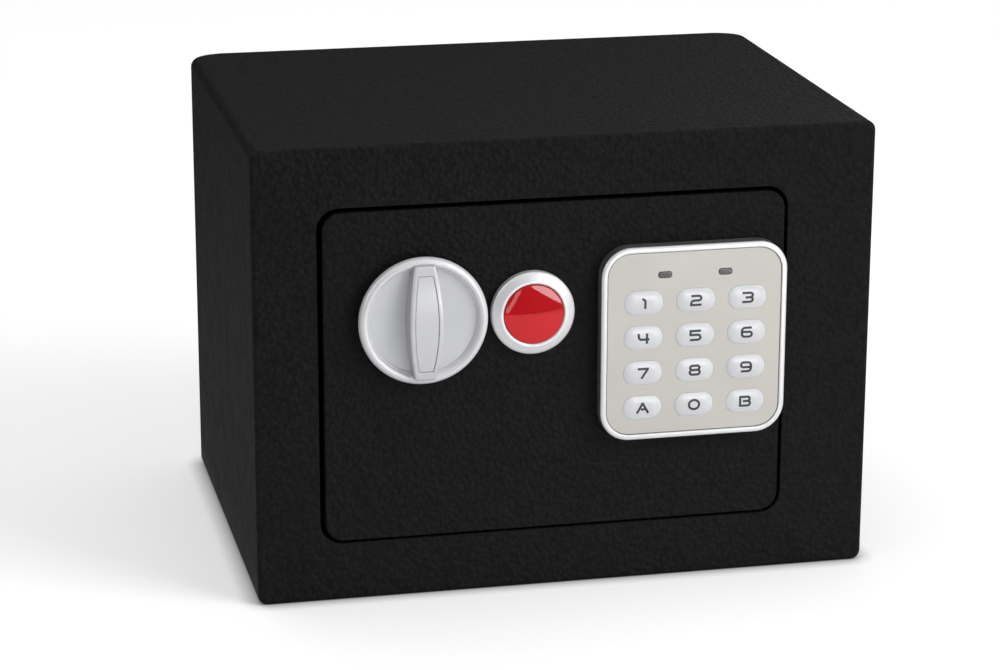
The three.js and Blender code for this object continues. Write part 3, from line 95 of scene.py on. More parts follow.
class Wiring:
    """A tree of nodes that is wired from left to right."""

    prefix = "ShaderNode"

    def __init__(self, tree: bpy.types.NodeTree) -> None:
        """Takes up a tree."""
        self.tree = tree

    def feed(self, socket: Socket, value: object) -> None:
        """Links a socket, or sets its value.

        Args:
            socket: the socket.
            value: another socket, or the value.
        """
        if isinstance(value, Socket):
            self.tree.links.new(value, socket)
        else:
            socket.default_value = value

    def node(self, kind: str, *main: object, **values: object) -> bpy.types.Node:
        """Adds a node.

        Args:
            kind: the node's type, without its prefix.
            main: sockets or values for its first inputs, in order.
            values: properties, and inputs by name with spaces written as underscores.

        Returns:
            The node.
        """
        node = self.tree.nodes.new(self.prefix + kind)
        for name, value in values.items():
            if hasattr(node, name):
                setattr(node, name, value)
            else:
                self.feed(node.inputs[name.replace("_", " ")], value)
        for socket, value in zip(node.inputs, main):
            self.feed(socket, value)
        return node

    def joined(self, first: object, second: object, how: str = "ADD") -> Socket:
        """Two values joined by a sum, or by the operation named."""
        return self.node("Math", first, second, operation=how).outputs[0]

    def span(
        self,
        value: Socket,
        low: float,
        high: float,
        start: float = CLOUD_LOW,
        end: float = CLOUD_HIGH,
    ) -> Socket:
        """A value spread from its range start..end to the range low..high."""
        names = {"From_Min": start, "From_Max": end, "To_Min": low, "To_Max": high}
        return self.node("MapRange", Value=value, **names).outputs[0]

    def seen_share(self, unseen: float, seen: float) -> Socket:
        """A strength that differs between rays that light the safe and rays that show the room.

        Args:
            unseen: the strength for the light on the safe.
            seen: the strength for the camera and for reflections.

        Returns:
            The strength.
        """
        path = self.node("LightPath")
        shown = path.outputs["Is Camera Ray"]
        for name in ("Is Glossy Ray", "Is Transmission Ray"):
            shown = self.joined(shown, path.outputs[name], "MAXIMUM")
        return self.span(shown, unseen, seen, 0.0, 1.0)


class Detail(Enum):
    """How much fine structure a noise has."""

    SMOOTH = 1.0
    SOFT = 2.0
    ROUGH = 3.0
    FIBROUS = 4.0


class Recipe(Wiring):
    """The nodes of one finish, added in the order in which a finisher works."""

    def __init__(self, name: str, colour: Colour, rough: float, metal: float = 0.0) -> None:
        """Starts from a plain surface.

        Args:
            name: the finish's name.
            colour: the plain colour, linear.
            rough: the surface's roughness.
            metal: 1 for a metal, and 0 for all else.
        """
        self.material = bpy.data.materials.new(name)
        self.material.use_nodes = True
        super().__init__(self.material.node_tree)
        self.shader = self.tree.nodes["Principled BSDF"]
        self.bumped: Socket | None = None
        self.set(Base_Color=(*colour, 1.0), Roughness=rough, Metallic=metal)

    @functools.cached_property
    def place(self) -> Socket:
        """The place on the piece, in metres."""
        return self.node("TexCoord").outputs["Object"]

    def set(self, **values: object) -> None:
        """Sets the shader's own sockets, or links them where the value is a socket."""
        for name, value in values.items():
            self.feed(self.shader.inputs[name.replace("_", " ")], value)

    def stretched(self, *scale: float) -> Socket:
        """The place on the piece, stretched along its three axes."""
        return self.node("Mapping", Vector=self.place, Scale=scale).outputs[0]

    def noise(
        self,
        size: float,
        detail: Detail = Detail.SOFT,
        place: Socket | None = None,
        twist: float = 0.0,
    ) -> Socket:
        """Cloudy variation whose blobs are about size millimetres wide."""
        values = {"Scale": 1 / (size * MM), "Detail": detail.value, "Distortion": twist}
        return self.node("TexNoise", Vector=place or self.place, **values).outputs[0]

    def cells(self, size: float) -> Socket:
        """Pebbles about size millimetres wide, dark in their middles."""
        values = {"feature": "SMOOTH_F1", "Scale": 1 / (size * MM), "Smoothness": CELL_SOFTNESS}
        return self.node("TexVoronoi", Vector=self.place, **values).outputs["Distance"]

    def blend(
        self,
        value: Socket,
        first: Colour,
        second: Colour,
        start: float = CLOUD_LOW,
        end: float = CLOUD_HIGH,
    ) -> Socket:
        """A colour that runs from the first to the second while a value goes from start to end.

        Args:
            value: what sets the mix.
            first: the colour at its start.
            second: the colour at its end.
            start: where the first colour ends.
            end: where the second colour begins.

        Returns:
            The colour.
        """
        node = self.node("Mix", data_type="RGBA")
        self.feed(node.inputs["Factor"], self.span(value, 0.0, 1.0, start, end))
        sockets = [s for s in node.inputs if s.type == "RGBA"]
        for socket, colour in zip(sockets, (first, second), strict=True):
            socket.default_value = (*colour, 1.0)
        return next(s for s in node.outputs if s.type == "RGBA")

    def relief(self, height: Socket, depth: float) -> None:
        """Raises the surface by up to depth millimetres, on top of the reliefs before it.

        Args:
            height: the pattern.
            depth: its depth in millimetres.
        """
        bump = self.node("Bump", Height=height, Distance=depth * MM, Strength=1.0)
        if self.bumped:
            self.feed(bump.inputs["Normal"], self.bumped)
        self.bumped = bump.outputs[0]
        self.set(Normal=self.bumped)


@dataclass(frozen=True)
class Finish:
    """A surface's finish: its plain colour and gloss, and what its kind adds to them."""

    name: str
    colour: Colour
    rough: float
    metal: float = 0.0
    wander: ClassVar[Point] = (0.0, 0.0)

    def tone(self, share: float) -> Colour:
        """The plain colour, made lighter or darker."""
        return tuple(share * c for c in self.colour)

    def haze(
        self, recipe: Recipe, cloud: Socket, start: float = CLOUD_LOW, end: float = CLOUD_HIGH
    ) -> Socket:
        """A roughness that wanders about the plain one with a cloud."""
        less, more = self.wander
        return recipe.span(cloud, self.rough - less, self.rough + more, start, end)

    def shade(self, recipe: Recipe) -> None:
        """Adds what this kind of finish has over a plain surface."""


@functools.cache
def dressed(finish: Finish) -> bpy.types.Material:
    """The material of a finish, made once.

    Args:
        finish: the finish.

    Returns:
        Its material.
    """
    recipe = Recipe(finish.name, finish.colour, finish.rough, finish.metal)
    finish.shade(recipe)
    return recipe.material


@dataclass(frozen=True)
class PowderCoat(Finish):
    """Baked powder with a pebbled leather grain, with painted shade in its valleys and painted light
    on its tops.
    """

    grain: float = 1.9
    height: float = 0.4
    warp: ClassVar[float] = 1.3
    twist: ClassVar[float] = 0.6
    pebble: ClassVar[float] = 0.8
    heights: ClassVar[Point] = (0.5, 1.4)
    shaded_valley: ClassVar[float] = 0.6
    lit_hill: ClassVar[float] = 1.6
    peel: ClassVar[float] = 0.34
    drift: ClassVar[float] = 9.0
    wander: ClassVar[Point] = (0.03, 0.03)
    shine: ClassVar[float] = 0.1

    def shade(self, recipe: Recipe) -> None:
        """Lays pebbles, a finer orange peel, and slow changes of gloss.

        Args:
            recipe: the coat's nodes.
        """
        warped = recipe.noise(self.grain * self.warp, Detail.ROUGH, twist=self.twist)
        pebbles = recipe.span(recipe.cells(self.grain), 1.0, 0.0, 0.0, self.pebble)
        grain = recipe.joined(pebbles, warped)
        # Painted shade and light: the colour is darker in the pebbles' valleys and lighter on their
        # tops.
        dark, light = self.tone(self.shaded_valley), self.tone(self.lit_hill)
        recipe.set(
            Base_Color=recipe.blend(grain, dark, light, *self.heights),
            Roughness=self.haze(recipe, recipe.noise(self.drift), CORE_LOW, CORE_HIGH),
            Specular_IOR_Level=self.shine,
        )
        recipe.relief(grain, self.height)
        recipe.relief(recipe.noise(self.peel), self.height / 4)


@dataclass(frozen=True)
class Felt(Finish):
    """Needled felt: a mat of short fibres with a soft sheen."""

    fibre: float = 0.5
    stretch: ClassVar[float] = 0.25
    twist: ClassVar[float] = 1.5
    crossings: ClassVar[Point] = (0.7, 1.3)
    fleck: ClassVar[float] = 2.1
    nap: ClassVar[float] = 0.5
    sheen: ClassVar[float] = 0.5
    sheen_rough: ClassVar[float] = 0.6

    def shade(self, recipe: Recipe) -> None:
        """Draws fibres in two directions, with lighter flecks.

        Args:
            recipe: the felt's nodes.
        """
        ways = (recipe.stretched(self.stretch, 1, 1), recipe.stretched(1, self.stretch, 1))
        fibres = [recipe.noise(self.fibre, Detail.FIBROUS, way, self.twist) for way in ways]
        mat = recipe.joined(*fibres)
        recipe.set(
            Base_Color=recipe.blend(mat, self.colour, self.tone(self.fleck), *self.crossings),
            Sheen_Weight=self.sheen,
            Sheen_Roughness=self.sheen_rough,
        )
        recipe.relief(mat, self.nap)


@dataclass(frozen=True)
class Plated(Finish):
    """Zinc-plated sheet: rolled grain with a faint blue and straw bloom."""

    bloom: Colour = (0.5, 0.47, 0.38)
    grain: ClassVar[float] = 0.5
    grain_height: ClassVar[float] = 0.012
    stretch: ClassVar[float] = 0.06
    spread: ClassVar[float] = 16.0
    patches: ClassVar[Point] = (0.4, 0.7)
    blur: ClassVar[float] = 2.5
    blur_height: ClassVar[float] = 0.01
    wander: ClassVar[Point] = (0.08, 0.12)

    def shade(self, recipe: Recipe) -> None:
        """Lays the sheet's rolling lines, the plating's bloom and a fine haze.

        Args:
            recipe: the plating's nodes.
        """
        lines = recipe.noise(self.grain, Detail.ROUGH, recipe.stretched(1, 1, self.stretch))
        bloom = recipe.noise(self.spread, Detail.ROUGH)
        blur = recipe.noise(self.blur, Detail.FIBROUS)
        recipe.set(
            Base_Color=recipe.blend(bloom, self.colour, self.bloom, *self.patches),
            Roughness=self.haze(recipe, blur),
        )
        recipe.relief(lines, self.grain_height)
        recipe.relief(blur, self.blur_height)


class Axis(Enum):
    """The line about which a turned piece was cut, as the stretch of its tool marks."""

    DEPTH = (0.02, 1.0, 0.02)
    UPRIGHT = (0.02, 0.02, 1.0)
    ACROSS = (1.0, 0.02, 0.02)


@dataclass(frozen=True)
class Turned(Finish):
    """Metal from the lathe, with fine tool marks round its axis."""

    axis: Axis = Axis.DEPTH
    marks: float = 0.006
    pitch: ClassVar[float] = 0.12
    handling: ClassVar[float] = 4.0
    wander: ClassVar[Point] = (0.05, 0.08)

    def shade(self, recipe: Recipe) -> None:
        """Cuts tool marks round the axis, over light handling haze.

        Args:
            recipe: the metal's nodes.
        """
        lines = recipe.noise(self.pitch, place=recipe.stretched(*self.axis.value))
        recipe.set(Roughness=self.haze(recipe, recipe.noise(self.handling, Detail.ROUGH)))
        recipe.relief(lines, self.marks)


@dataclass(frozen=True)
class Satin(Finish):
    """Satin silver lacquer on a moulding, with fine metal flake."""

    clear: float = 0.25
    clear_rough: ClassVar[float] = 0.22
    flake: ClassVar[float] = 0.16
    sparkle: ClassVar[float] = 0.0015
    dim: ClassVar[float] = 0.93
    wave: ClassVar[float] = 9.0
    wander: ClassVar[Point] = (0.04, 0.05)

    def shade(self, recipe: Recipe) -> None:
        """Scatters flake in the lacquer and a faint unevenness under it.

        Args:
            recipe: the lacquer's nodes.
        """
        flake, dim = recipe.noise(self.flake, Detail.SMOOTH), self.tone(self.dim)
        recipe.set(
            Base_Color=recipe.blend(flake, dim, self.colour, CORE_LOW, CORE_HIGH),
            Roughness=self.haze(recipe, recipe.noise(self.wave)),
            Coat_Weight=self.clear,
            Coat_Roughness=self.clear_rough,
        )
        recipe.relief(flake, self.sparkle)


@dataclass(frozen=True)
class Moulded(Finish):
    """Moulded plastic with a fine spark-eroded texture."""

    height: float = 0.01
    glow: float = 0.0
    glow_reach: ClassVar[float] = 0.8
    grain: ClassVar[float] = 0.25
    dim: ClassVar[float] = 0.95
    drift: ClassVar[float] = 22.0
    wander: ClassVar[Point] = (0.04, 0.06)

    def shade(self, recipe: Recipe) -> None:
        """Lays the mould's texture and slow changes of tone, and lets light into pale plastic.

        Args:
            recipe: the plastic's nodes.
        """
        texture = recipe.noise(self.grain)
        recipe.set(
            Base_Color=recipe.blend(recipe.noise(self.drift), self.tone(self.dim), self.colour),
            Roughness=self.haze(recipe, texture),
            Subsurface_Weight=self.glow,
            Subsurface_Scale=self.glow_reach * MM,
        )
        recipe.relief(texture, self.height)


@dataclass(frozen=True)
class Enamel(Finish):
    """A red print under a clear domed resin, darker above its middle as a painted dark reflection."""

    middle: float = 0.0
    soft: float = 0.6
    painted_dark_reflection: ClassVar[float] = 0.76
    blur: ClassVar[float] = 5.0
    swell: ClassVar[float] = 7.0
    swell_height: ClassVar[float] = 0.004
    shine: ClassVar[float] = 0.05
    resin: ClassVar[float] = 0.6
    resin_rough: ClassVar[float] = 0.015

    def shade(self, recipe: Recipe) -> None:
        """Adds the clear resin, and darkens the print above its middle as a painted dark reflection.

        Args:
            recipe: the print's nodes.
        """
        height = recipe.node("SeparateXYZ", Vector=recipe.place).outputs["Z"]
        cloud = recipe.span(recipe.noise(self.blur), -self.soft * MM, self.soft * MM)
        # Painted dark reflection: the colour is darker above the middle height.
        level, painted_dark_reflection = recipe.joined(height, cloud), self.tone(self.painted_dark_reflection)
        ends = ((self.middle + side * self.soft) * MM for side in (-1, 1))
        recipe.set(
            Base_Color=recipe.blend(level, self.colour, painted_dark_reflection, *ends),
            Specular_IOR_Level=self.shine,
            Coat_Weight=self.resin,
            Coat_Roughness=self.resin_rough,
        )
        recipe.relief(recipe.noise(self.swell, Detail.SMOOTH), self.swell_height)


@dataclass(frozen=True)
class Wound(Finish):
    """Enamelled wire wound in close turns up an upright bobbin."""

    wire: ClassVar[float] = 0.25
    bands: ClassVar[float] = 0.31
    twist: ClassVar[float] = 0.2
    groove_painted_shade: ClassVar[float] = 0.4

    def shade(self, recipe: Recipe) -> None:
        """Draws the turns, with painted shade in the grooves between them and a painted highlight on
        each crown.

        Args:
            recipe: the winding's nodes.
        """
        values = {"Scale": self.bands / (self.wire * MM), "Distortion": self.twist}
        wave = recipe.node("TexWave", bands_direction="Z", Vector=recipe.place, **values)
        turns = wave.outputs[1]
        # Painted shade in the grooves and a painted highlight on each turn's crown.
        recipe.set(Base_Color=recipe.blend(turns, self.tone(self.groove_painted_shade), self.colour, 0.0, 1.0))
        recipe.relief(turns, self.wire / 4)


@dataclass(frozen=True)
class Board(Finish):
    """Green circuit board with tracks under its mask."""

    track: ClassVar[Colour] = (0.05, 0.26, 0.1)
    track_height: ClassVar[float] = 0.03
    blocks: ClassVar[float] = 180.0
    edges: ClassVar[Point] = (0.04, 0.07)

    def shade(self, recipe: Recipe) -> None:
        """Draws the tracks as bands between blocks.

        Args:
            recipe: the board's nodes.
        """
        values = {"Vector": recipe.place, "Scale": self.blocks}
        blocks = recipe.node("TexVoronoi", feature="DISTANCE_TO_EDGE", **values).outputs[0]
        tracks = recipe.span(blocks, 1.0, 0.0, *self.edges)
        recipe.set(Base_Color=recipe.blend(tracks, self.colour, self.track, 0.0, 1.0))
        recipe.relief(tracks, self.track_height)


COAT = PowderCoat("powder coat", (0.0054, 0.0054, 0.0056), 0.66)
COAT_FINE = PowderCoat("fine powder coat", (0.0054, 0.0054, 0.0056), 0.66, grain=0.8, height=0.08)
FELT = Felt("grey felt", (0.03, 0.03, 0.034), 0.95)
ZINC = Plated("zinc plate", (0.42, 0.43, 0.45), 0.36, 1.0)
STEEL = Turned("bright steel", (0.58, 0.59, 0.6), 0.22, 1.0)
STEEL_UPRIGHT = Turned("bright steel pin", (0.58, 0.59, 0.6), 0.24, 1.0, Axis.UPRIGHT)
STEEL_ACROSS = Turned("bright steel bolt", (0.6, 0.61, 0.62), 0.18, 1.0, Axis.ACROSS)
RING_METAL = Turned("satin ring", (0.78, 0.79, 0.805), 0.42, 0.38, marks=0.003)
BRASS = Turned("brass", (0.5, 0.33, 0.1), 0.28, 1.0)
SILVER = Satin("satin silver", (0.675, 0.68, 0.71), 0.36, 0.18)
# A lighter copy of the satin silver for the knob's rim: a painted highlight.
SILVER_RIM_PAINTED_HIGHLIGHT = Satin("satin silver rim", (0.79, 0.795, 0.82), 0.36, 0.12)
# A darker copy of the satin silver for the grip's sides: a painted shade.
SILVER_FLANK_PAINTED_SHADE = Satin("shaded silver flank", (0.44, 0.445, 0.465), 0.42, 0.1)
SILVER_PALE = Satin("satin silver panel", (0.68, 0.685, 0.715), 0.34, 0.15)
RIM_SILVER = Satin("bright silver rim", (0.8, 0.805, 0.82), 0.36, 0.26, clear=0.4)
# A darker copy of the rim's silver for the keypad housing's side: a painted dark reflection.
RIM_SIDE_PAINTED_DARK = Satin("dark chrome side", (0.4, 0.405, 0.415), 0.3, 0.8, clear=0.3)
FACE = Moulded("beige grey face", (0.65, 0.632, 0.58), 0.46, height=0.006)
PEARL = Moulded("pearl key", (0.79, 0.795, 0.825), 0.3, height=0.002, glow=0.15)
INK = Moulded("grey print", (0.028, 0.028, 0.03), 0.5, height=0.002)
LENS = Moulded("smoked lens", (0.125, 0.122, 0.125), 0.18, height=0.002)
# The cap's red resin is darker above its middle: a painted dark reflection.
RED_RESIN = Enamel("red resin", (0.7, 0.006, 0.014), 0.5, middle=106.0, soft=1.1)
RED_PLASTIC = Moulded("red plastic", (0.45, 0.01, 0.01), 0.38)
BLACK_PLASTIC = Moulded("black plastic", (0.012, 0.012, 0.013), 0.45, height=0.016)
NYLON = Moulded("nylon", (0.75, 0.74, 0.7), 0.42, glow=0.1)
BOARD = Board("circuit board", (0.012, 0.1, 0.04), 0.35)
COPPER = Wound("copper winding", (0.45, 0.14, 0.05), 0.3, 0.8)
SLEEVE = Moulded("cell sleeve", (0.03, 0.04, 0.07), 0.22, height=0.003)
NICKEL = Turned("nickel end", (0.6, 0.59, 0.56), 0.25, 1.0, Axis.UPRIGHT)


# Outlines


def arc(
    centre: Point, radius: float, start: float, end: float, steps: int, rise: float | None = None
) -> Outline:
    """Points along an arc, both ends included.

    Args:
        centre: its centre.
        radius: its radius, or its half width where it isn't round.
        start: the angle at which it begins.
        end: the angle at which it ends.
        steps: how many parts it has.
        rise: its half height where it isn't round.

    Returns:
        The points.
    """
    high = radius if rise is None else rise
    angles = [start + (end - start) * i / steps for i in range(steps + 1)]
    return [(centre[0] + radius * math.cos(a), centre[1] + high * math.sin(a)) for a in angles]


def circle(centre: Point, radius: float, steps: int = 48) -> Outline:
    """A full circle, without its last point twice."""
    return arc(centre, radius, 0.0, 4 * QUARTER, steps)[:-1]


@dataclass(frozen=True)
class Rounded:
    """A rectangle with round corners, by its centre, size and corner radius."""

    centre: Point
    width: float
    height: float
    radius: float
    steps: int = 10
    least: float = 0.01

    def grown(self, by: float) -> Outline:
        """The outline with each side moved outwards.

        Args:
            by: the distance in millimetres.

        Returns:
            The larger outline.
        """
        half_w, half_h = self.width / 2 + by, self.height / 2 + by
        radius = max(self.radius + by, self.least)
        corners = ((1, -1, -1), (1, 1, 0), (-1, 1, 1), (-1, -1, 2))
        x, z = self.centre
        points: Outline = []
        for side_x, side_z, quarter in corners:
            middle = (x + side_x * (half_w - radius), z + side_z * (half_h - radius))
            points += arc(middle, radius, quarter * QUARTER, (quarter + 1) * QUARTER, self.steps)
        return points

    def widened(self, by: float) -> Rounded:
        """The same rectangle with each side moved outwards."""
        size = {"width": self.width + 2 * by, "height": self.height + 2 * by}
        return replace(self, radius=self.radius + by, **size)

    def inset(self, x: float, z: float) -> float:
        """How far inside the outline a point lies.

        Args:
            x: across.
            z: up.

        Returns:
            The distance to the nearest side.
        """
        out_x = abs(x - self.centre[0]) - (self.width / 2 - self.radius)
        out_z = abs(z - self.centre[1]) - (self.height / 2 - self.radius)
        beyond = math.hypot(max(out_x, 0.0), max(out_z, 0.0)) + min(max(out_x, out_z), 0.0)
        return self.radius - beyond


@dataclass(frozen=True)
class Round:
    """A circle by its centre and radius."""

    centre: Point
    radius: float
    steps: int = 48

    def grown(self, by: float) -> Outline:
        """The circle with its radius made larger."""
        return circle(self.centre, self.radius + by, self.steps)


Shape = Rounded | Round


def rolled(radius: float, steps: int = 4) -> list[Point]:
    """A rolled edge as (inset, drop) pairs from the side of a plate to its face."""
    angles = [QUARTER * i / steps for i in range(steps + 1)]
    return [(radius * (1 - math.cos(a)), radius * (1 - math.sin(a))) for a in angles]


def stepped(bore: float, start: float, *lengths: Point) -> list[Point]:
    """The profile of a turned piece of plain lengths, as (radius, place) pairs.

    Args:
        bore: the radius of its bore, 0 for none.
        start: where it begins along its axis.
        lengths: each length's radius, and where it ends.

    Returns:
        The profile, out along the first face and in along the last.
    """
    profile = [(bore, start)]
    for radius, end in lengths:
        profile += [(radius, profile[-1][1]), (radius, end)]
    return [*profile, (bore, profile[-1][1])]


@dataclass(frozen=True)
class Place:
    """A node's box in millimetres: across, depth and up."""

    left: float
    right: float
    near: float
    far: float
    bottom: float
    top: float

    @classmethod
    @functools.cache
    def of(cls, node: str) -> Place:
        """The box of a node at rest."""
        low, high = (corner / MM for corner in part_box(node))
        return cls(low.x, high.x, low.y - FRONT_Y / MM, high.y - FRONT_Y / MM, low.z, high.z)

    @property
    def x(self) -> float:
        """The middle across."""
        return (self.left + self.right) / 2

    @property
    def depth(self) -> float:
        """The middle of its depth."""
        return (self.near + self.far) / 2

    @property
    def z(self) -> float:
        """The middle upwards."""
        return (self.bottom + self.top) / 2

    def rounded(self, radius: float, steps: int = 10) -> Rounded:
        """Its outline from the front, with round corners."""
        width, height = self.right - self.left, self.top - self.bottom
        return Rounded((self.x, self.z), width, height, radius, steps)


# Meshes


class Run(Enum):
    """The direction along which a skin's outlines are stacked."""

    DEPTH = "depth"
    UPRIGHT = "upright"
    ACROSS = "across"


class Skin:
    """A closed mesh that is grown from outlines, bridged in order and filled at its ends."""

    def __init__(self, run: Run = Run.DEPTH) -> None:
        """Starts an empty skin whose outlines are stacked along a direction."""
        self.mesh = bmesh.new()
        self.run = run

    def spot(self, u: float, v: float, w: float) -> Vector:
        """A point in metres from a point on an outline and its place along the run.

        Args:
            u: the outline point's first coordinate.
            v: its second coordinate.
            w: the place along the run.

        Returns:
            The point.
        """
        runs = {Run.DEPTH: (u, w, v), Run.UPRIGHT: (u, v, w), Run.ACROSS: (w, u, v)}
        across, depth, up = runs[self.run]
        return Vector((across * MM, FRONT_Y + depth * MM, up * MM))

    def ring(self, outline: Outline, w: float | Sequence[float]) -> Ring:
        """Adds an outline at one place along the run, or with a place for each point.

        Args:
            outline: the outline.
            w: the place or places.

        Returns:
            The ring.
        """
        places = [w] * len(outline) if isinstance(w, (int, float)) else w
        spots = [self.spot(u, v, at) for (u, v), at in zip(outline, places, strict=True)]
        return [self.mesh.verts.new(spot) for spot in spots]

    def bridge(self, near: Ring, far: Ring) -> None:
        """Joins two rings of as many points with a band of faces.

        Args:
            near: one ring.
            far: the other ring.
        """
        for i in range(len(near)):
            j = (i + 1) % len(near)
            self.mesh.faces.new((near[i], near[j], far[j], far[i]))

    def wall(self, rings: Iterable[Ring]) -> None:
        """Joins each ring to the next."""
        for near, far in pairwise(rings):
            self.bridge(near, far)

    def walled(self, shape: Shape, stack: Sequence[Point]) -> list[Ring]:
        """Adds a wall that follows an outline.

        Args:
            shape: the outline.
            stack: how far inside it each ring lies, and its place along the run.

        Returns:
            The wall's rings.
        """
        rings = [self.ring(shape.grown(-inset), w) for inset, w in stack]
        self.wall(rings)
        return rings

    def solid(self, shape: Shape, stack: Sequence[Point]) -> None:
        """Adds a wall that follows an outline, and fills both its ends.

        Args:
            shape: the outline.
            stack: the inset and place of each ring.
        """
        rings = self.walled(shape, stack)
        self.fill(rings[0])
        self.fill(rings[-1])

    def fill(self, *rings: Ring) -> None:
        """Fills the flat area inside the first ring and outside the others.

        Args:
            rings: the outer ring, and those of any holes.
        """
        edges = []
        for ring in rings:
            for i in range(len(ring)):
                pair = (ring[i], ring[(i + 1) % len(ring)])
                edges.append(self.mesh.edges.get(pair) or self.mesh.edges.new(pair))
        bmesh.ops.triangle_fill(self.mesh, use_beauty=True, use_dissolve=False, edges=edges)

    def slab(
        self,
        shape: Shape,
        near: float,
        far: float,
        roll: float = 0.0,
        holes: Sequence[Shape] = (),
        hole_roll: float = 0.0,
        back_roll: float | None = None,
    ) -> None:
        """Adds a plate whose outer and hole edges are rolled over.

        Args:
            shape: the plate's outline.
            near: where the plate begins along the run.
            far: where it ends.
            roll: the radius of the near outer edge.
            holes: outlines of the holes through it.
            hole_roll: the radius of the holes' edges.
            back_roll: the radius of the far outer edge, the same as the near one if left out.
        """
        back = roll if back_roll is None else back_roll
        outer = self.walled(shape, self._edge(roll, near, 1) + self._edge(back, far, -1)[::-1])
        stack = self._edge(hole_roll, near, 1) + self._edge(hole_roll, far, -1)[::-1]
        inner = [self.walled(hole, [(-inset, w) for inset, w in stack]) for hole in holes]
        self.fill(outer[0], *(rings[0] for rings in inner))
        self.fill(outer[-1], *(rings[-1] for rings in inner))

    @staticmethod
    def _edge(radius: float, face: float, sense: int) -> list[Point]:
        """(inset, place) pairs of a rolled edge, from the face inwards along the run.

        Args:
            radius: the edge's radius.
            face: where the flat face is.
            sense: which way the run goes.

        Returns:
            The pairs.
        """
        if radius <= 0.0:
            return [(0.0, face)]
        return [(inset, face + sense * drop) for inset, drop in reversed(rolled(radius))]

    def turn(
        self, profile: Sequence[Point], centre: Point, steps: int = 96, hollow: bool = False
    ) -> Ring | bmesh.types.BMVert:
        """Turns a profile of (radius, place along the run) pairs about an axis.

        Args:
            profile: the points, of which those at radius 0 lie on the axis.
            centre: where the axis stands.
            steps: how many faces go round.
            hollow: whether the profile closes on itself, round a bore.

        Returns:
            The last point's ring, or its single vertex on the axis.
        """
        rings: list[Ring | bmesh.types.BMVert] = []
        for radius, w in profile:
            if radius < TINY:
                rings.append(self.mesh.verts.new(self.spot(*centre, w)))
            else:
                rings.append(self.ring(circle(centre, radius, steps), w))
        if hollow:
            rings.append(rings[0])
        for near, far in pairwise(rings):
            if isinstance(near, list) and isinstance(far, list):
                self.bridge(near, far)
                continue
            ring, tip = (near, far) if isinstance(near, list) else (far, near)
            for i in range(steps):
                self.mesh.faces.new((ring[i], ring[(i + 1) % steps], tip))
        return rings[-1]

    def rungs(self, *rings: Ring) -> None:
        """Fills rings whose second half mirrors their first with rungs from side to side.

        Args:
            rings: the rings.
        """
        for ring in rings:
            for i in range(len(ring) // 2 - 1):
                self.mesh.faces.new((ring[i], ring[i + 1], ring[-i - 2], ring[-i - 1]))

    def close(self, name: str) -> bpy.types.Mesh:
        """Turns the skin's faces outwards and returns it as a mesh.

        Args:
            name: the mesh's name.

        Returns:
            The mesh.
        """
        bmesh.ops.recalc_face_normals(self.mesh, faces=self.mesh.faces[:])
        data = bpy.data.meshes.new(name)
        self.mesh.to_mesh(data)
        self.mesh.free()
        return data

    def finish(
        self,
        name: str,
        finish: Finish,
        sharp: float = 38.0,
        edge: float = 0.0,
        drill: Skin | None = None,
        joined: Sequence[Skin] = (),
    ) -> bpy.types.Object:
        """Closes the skin and makes it an object with smooth faces and crisp edges.

        Args:
            name: the piece's name.
            finish: what it is finished in.
            sharp: the angle in degrees past which an edge stays crisp.
            edge: how wide such edges are broken.
            drill: what is cut out of it.
            joined: what is fused with it.

        Returns:
            The object, at the origin.
        """
        data = self.close(name)
        for other in joined:
            data = combined(data, other.close("joined"), "UNION")
        if drill:
            data = combined(data, drill.close("drill"), "DIFFERENCE")
        return placed(name, data, finish, sharp, edge)


def baked(piece: bpy.types.Object) -> bpy.types.Mesh:
    """The mesh that a piece's modifiers make of it."""
    return bpy.data.meshes.new_from_object(piece.evaluated_get(bpy.context.evaluated_depsgraph_get()))


def combined(data: bpy.types.Mesh, other: bpy.types.Mesh, how: str) -> bpy.types.Mesh:
    """One closed mesh fused with another, or cut by it.

    Args:
        data: the mesh that is kept.
        other: the mesh that is added or taken away.
        how: UNION or DIFFERENCE.

    Returns:
        The new mesh.
    """
    pair = [bpy.data.objects.new(mesh.name, mesh) for mesh in (data, other)]
    for thing in pair:
        bpy.context.scene.collection.objects.link(thing)
    change = pair[0].modifiers.new("change", "BOOLEAN")
    change.operation = how
    change.object = pair[1]
    change.solver = "EXACT"
    result = baked(pair[0])
    for thing in pair:
        bpy.data.objects.remove(thing)
    return result


def placed(
    name: str, data: bpy.types.Mesh, finish: Finish, sharp: float = 38.0, edge: float = 0.0
) -> bpy.types.Object:
    """Makes an object of a mesh, with its finish, its broken edges and its shading.

    Args:
        name: the piece's name.
        data: its mesh.
        finish: what it is finished in.
        sharp: the angle in degrees past which an edge stays crisp.
        edge: how wide such edges are broken.

    Returns:
        The object, with no modifier left on it.
    """
    data.materials.clear()
    data.materials.append(dressed(finish))
    data.shade_smooth()
    data.set_sharp_from_angle(angle=math.radians(sharp))
    made = bpy.data.objects.new(name, data)
    bpy.context.scene.collection.objects.link(made)
    if edge:
        bevel = made.modifiers.new("broken edges", "BEVEL")
        bevel.width = edge * MM
        bevel.segments = 2
        bevel.limit_method = "ANGLE"
        bevel.angle_limit = math.radians(sharp)
    weigh = made.modifiers.new("even shading", "WEIGHTED_NORMAL")
    weigh.keep_sharp = True
    made.data = baked(made)
    made.modifiers.clear()
    return made


def settle(piece: bpy.types.Object, *nodes: str, body: str = "") -> bpy.types.Object:
    """Seats a piece on the body of the nodes that it stands for, and hides those nodes.

    Args:
        piece: the finished piece.
        nodes: the nodes that it replaces.
        body: the body it rides on, where it replaces none.

    Returns:
        The piece.
    """
    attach(piece, body or BODIES[nodes[0]])
    if nodes:
        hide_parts(*nodes)
    return piece


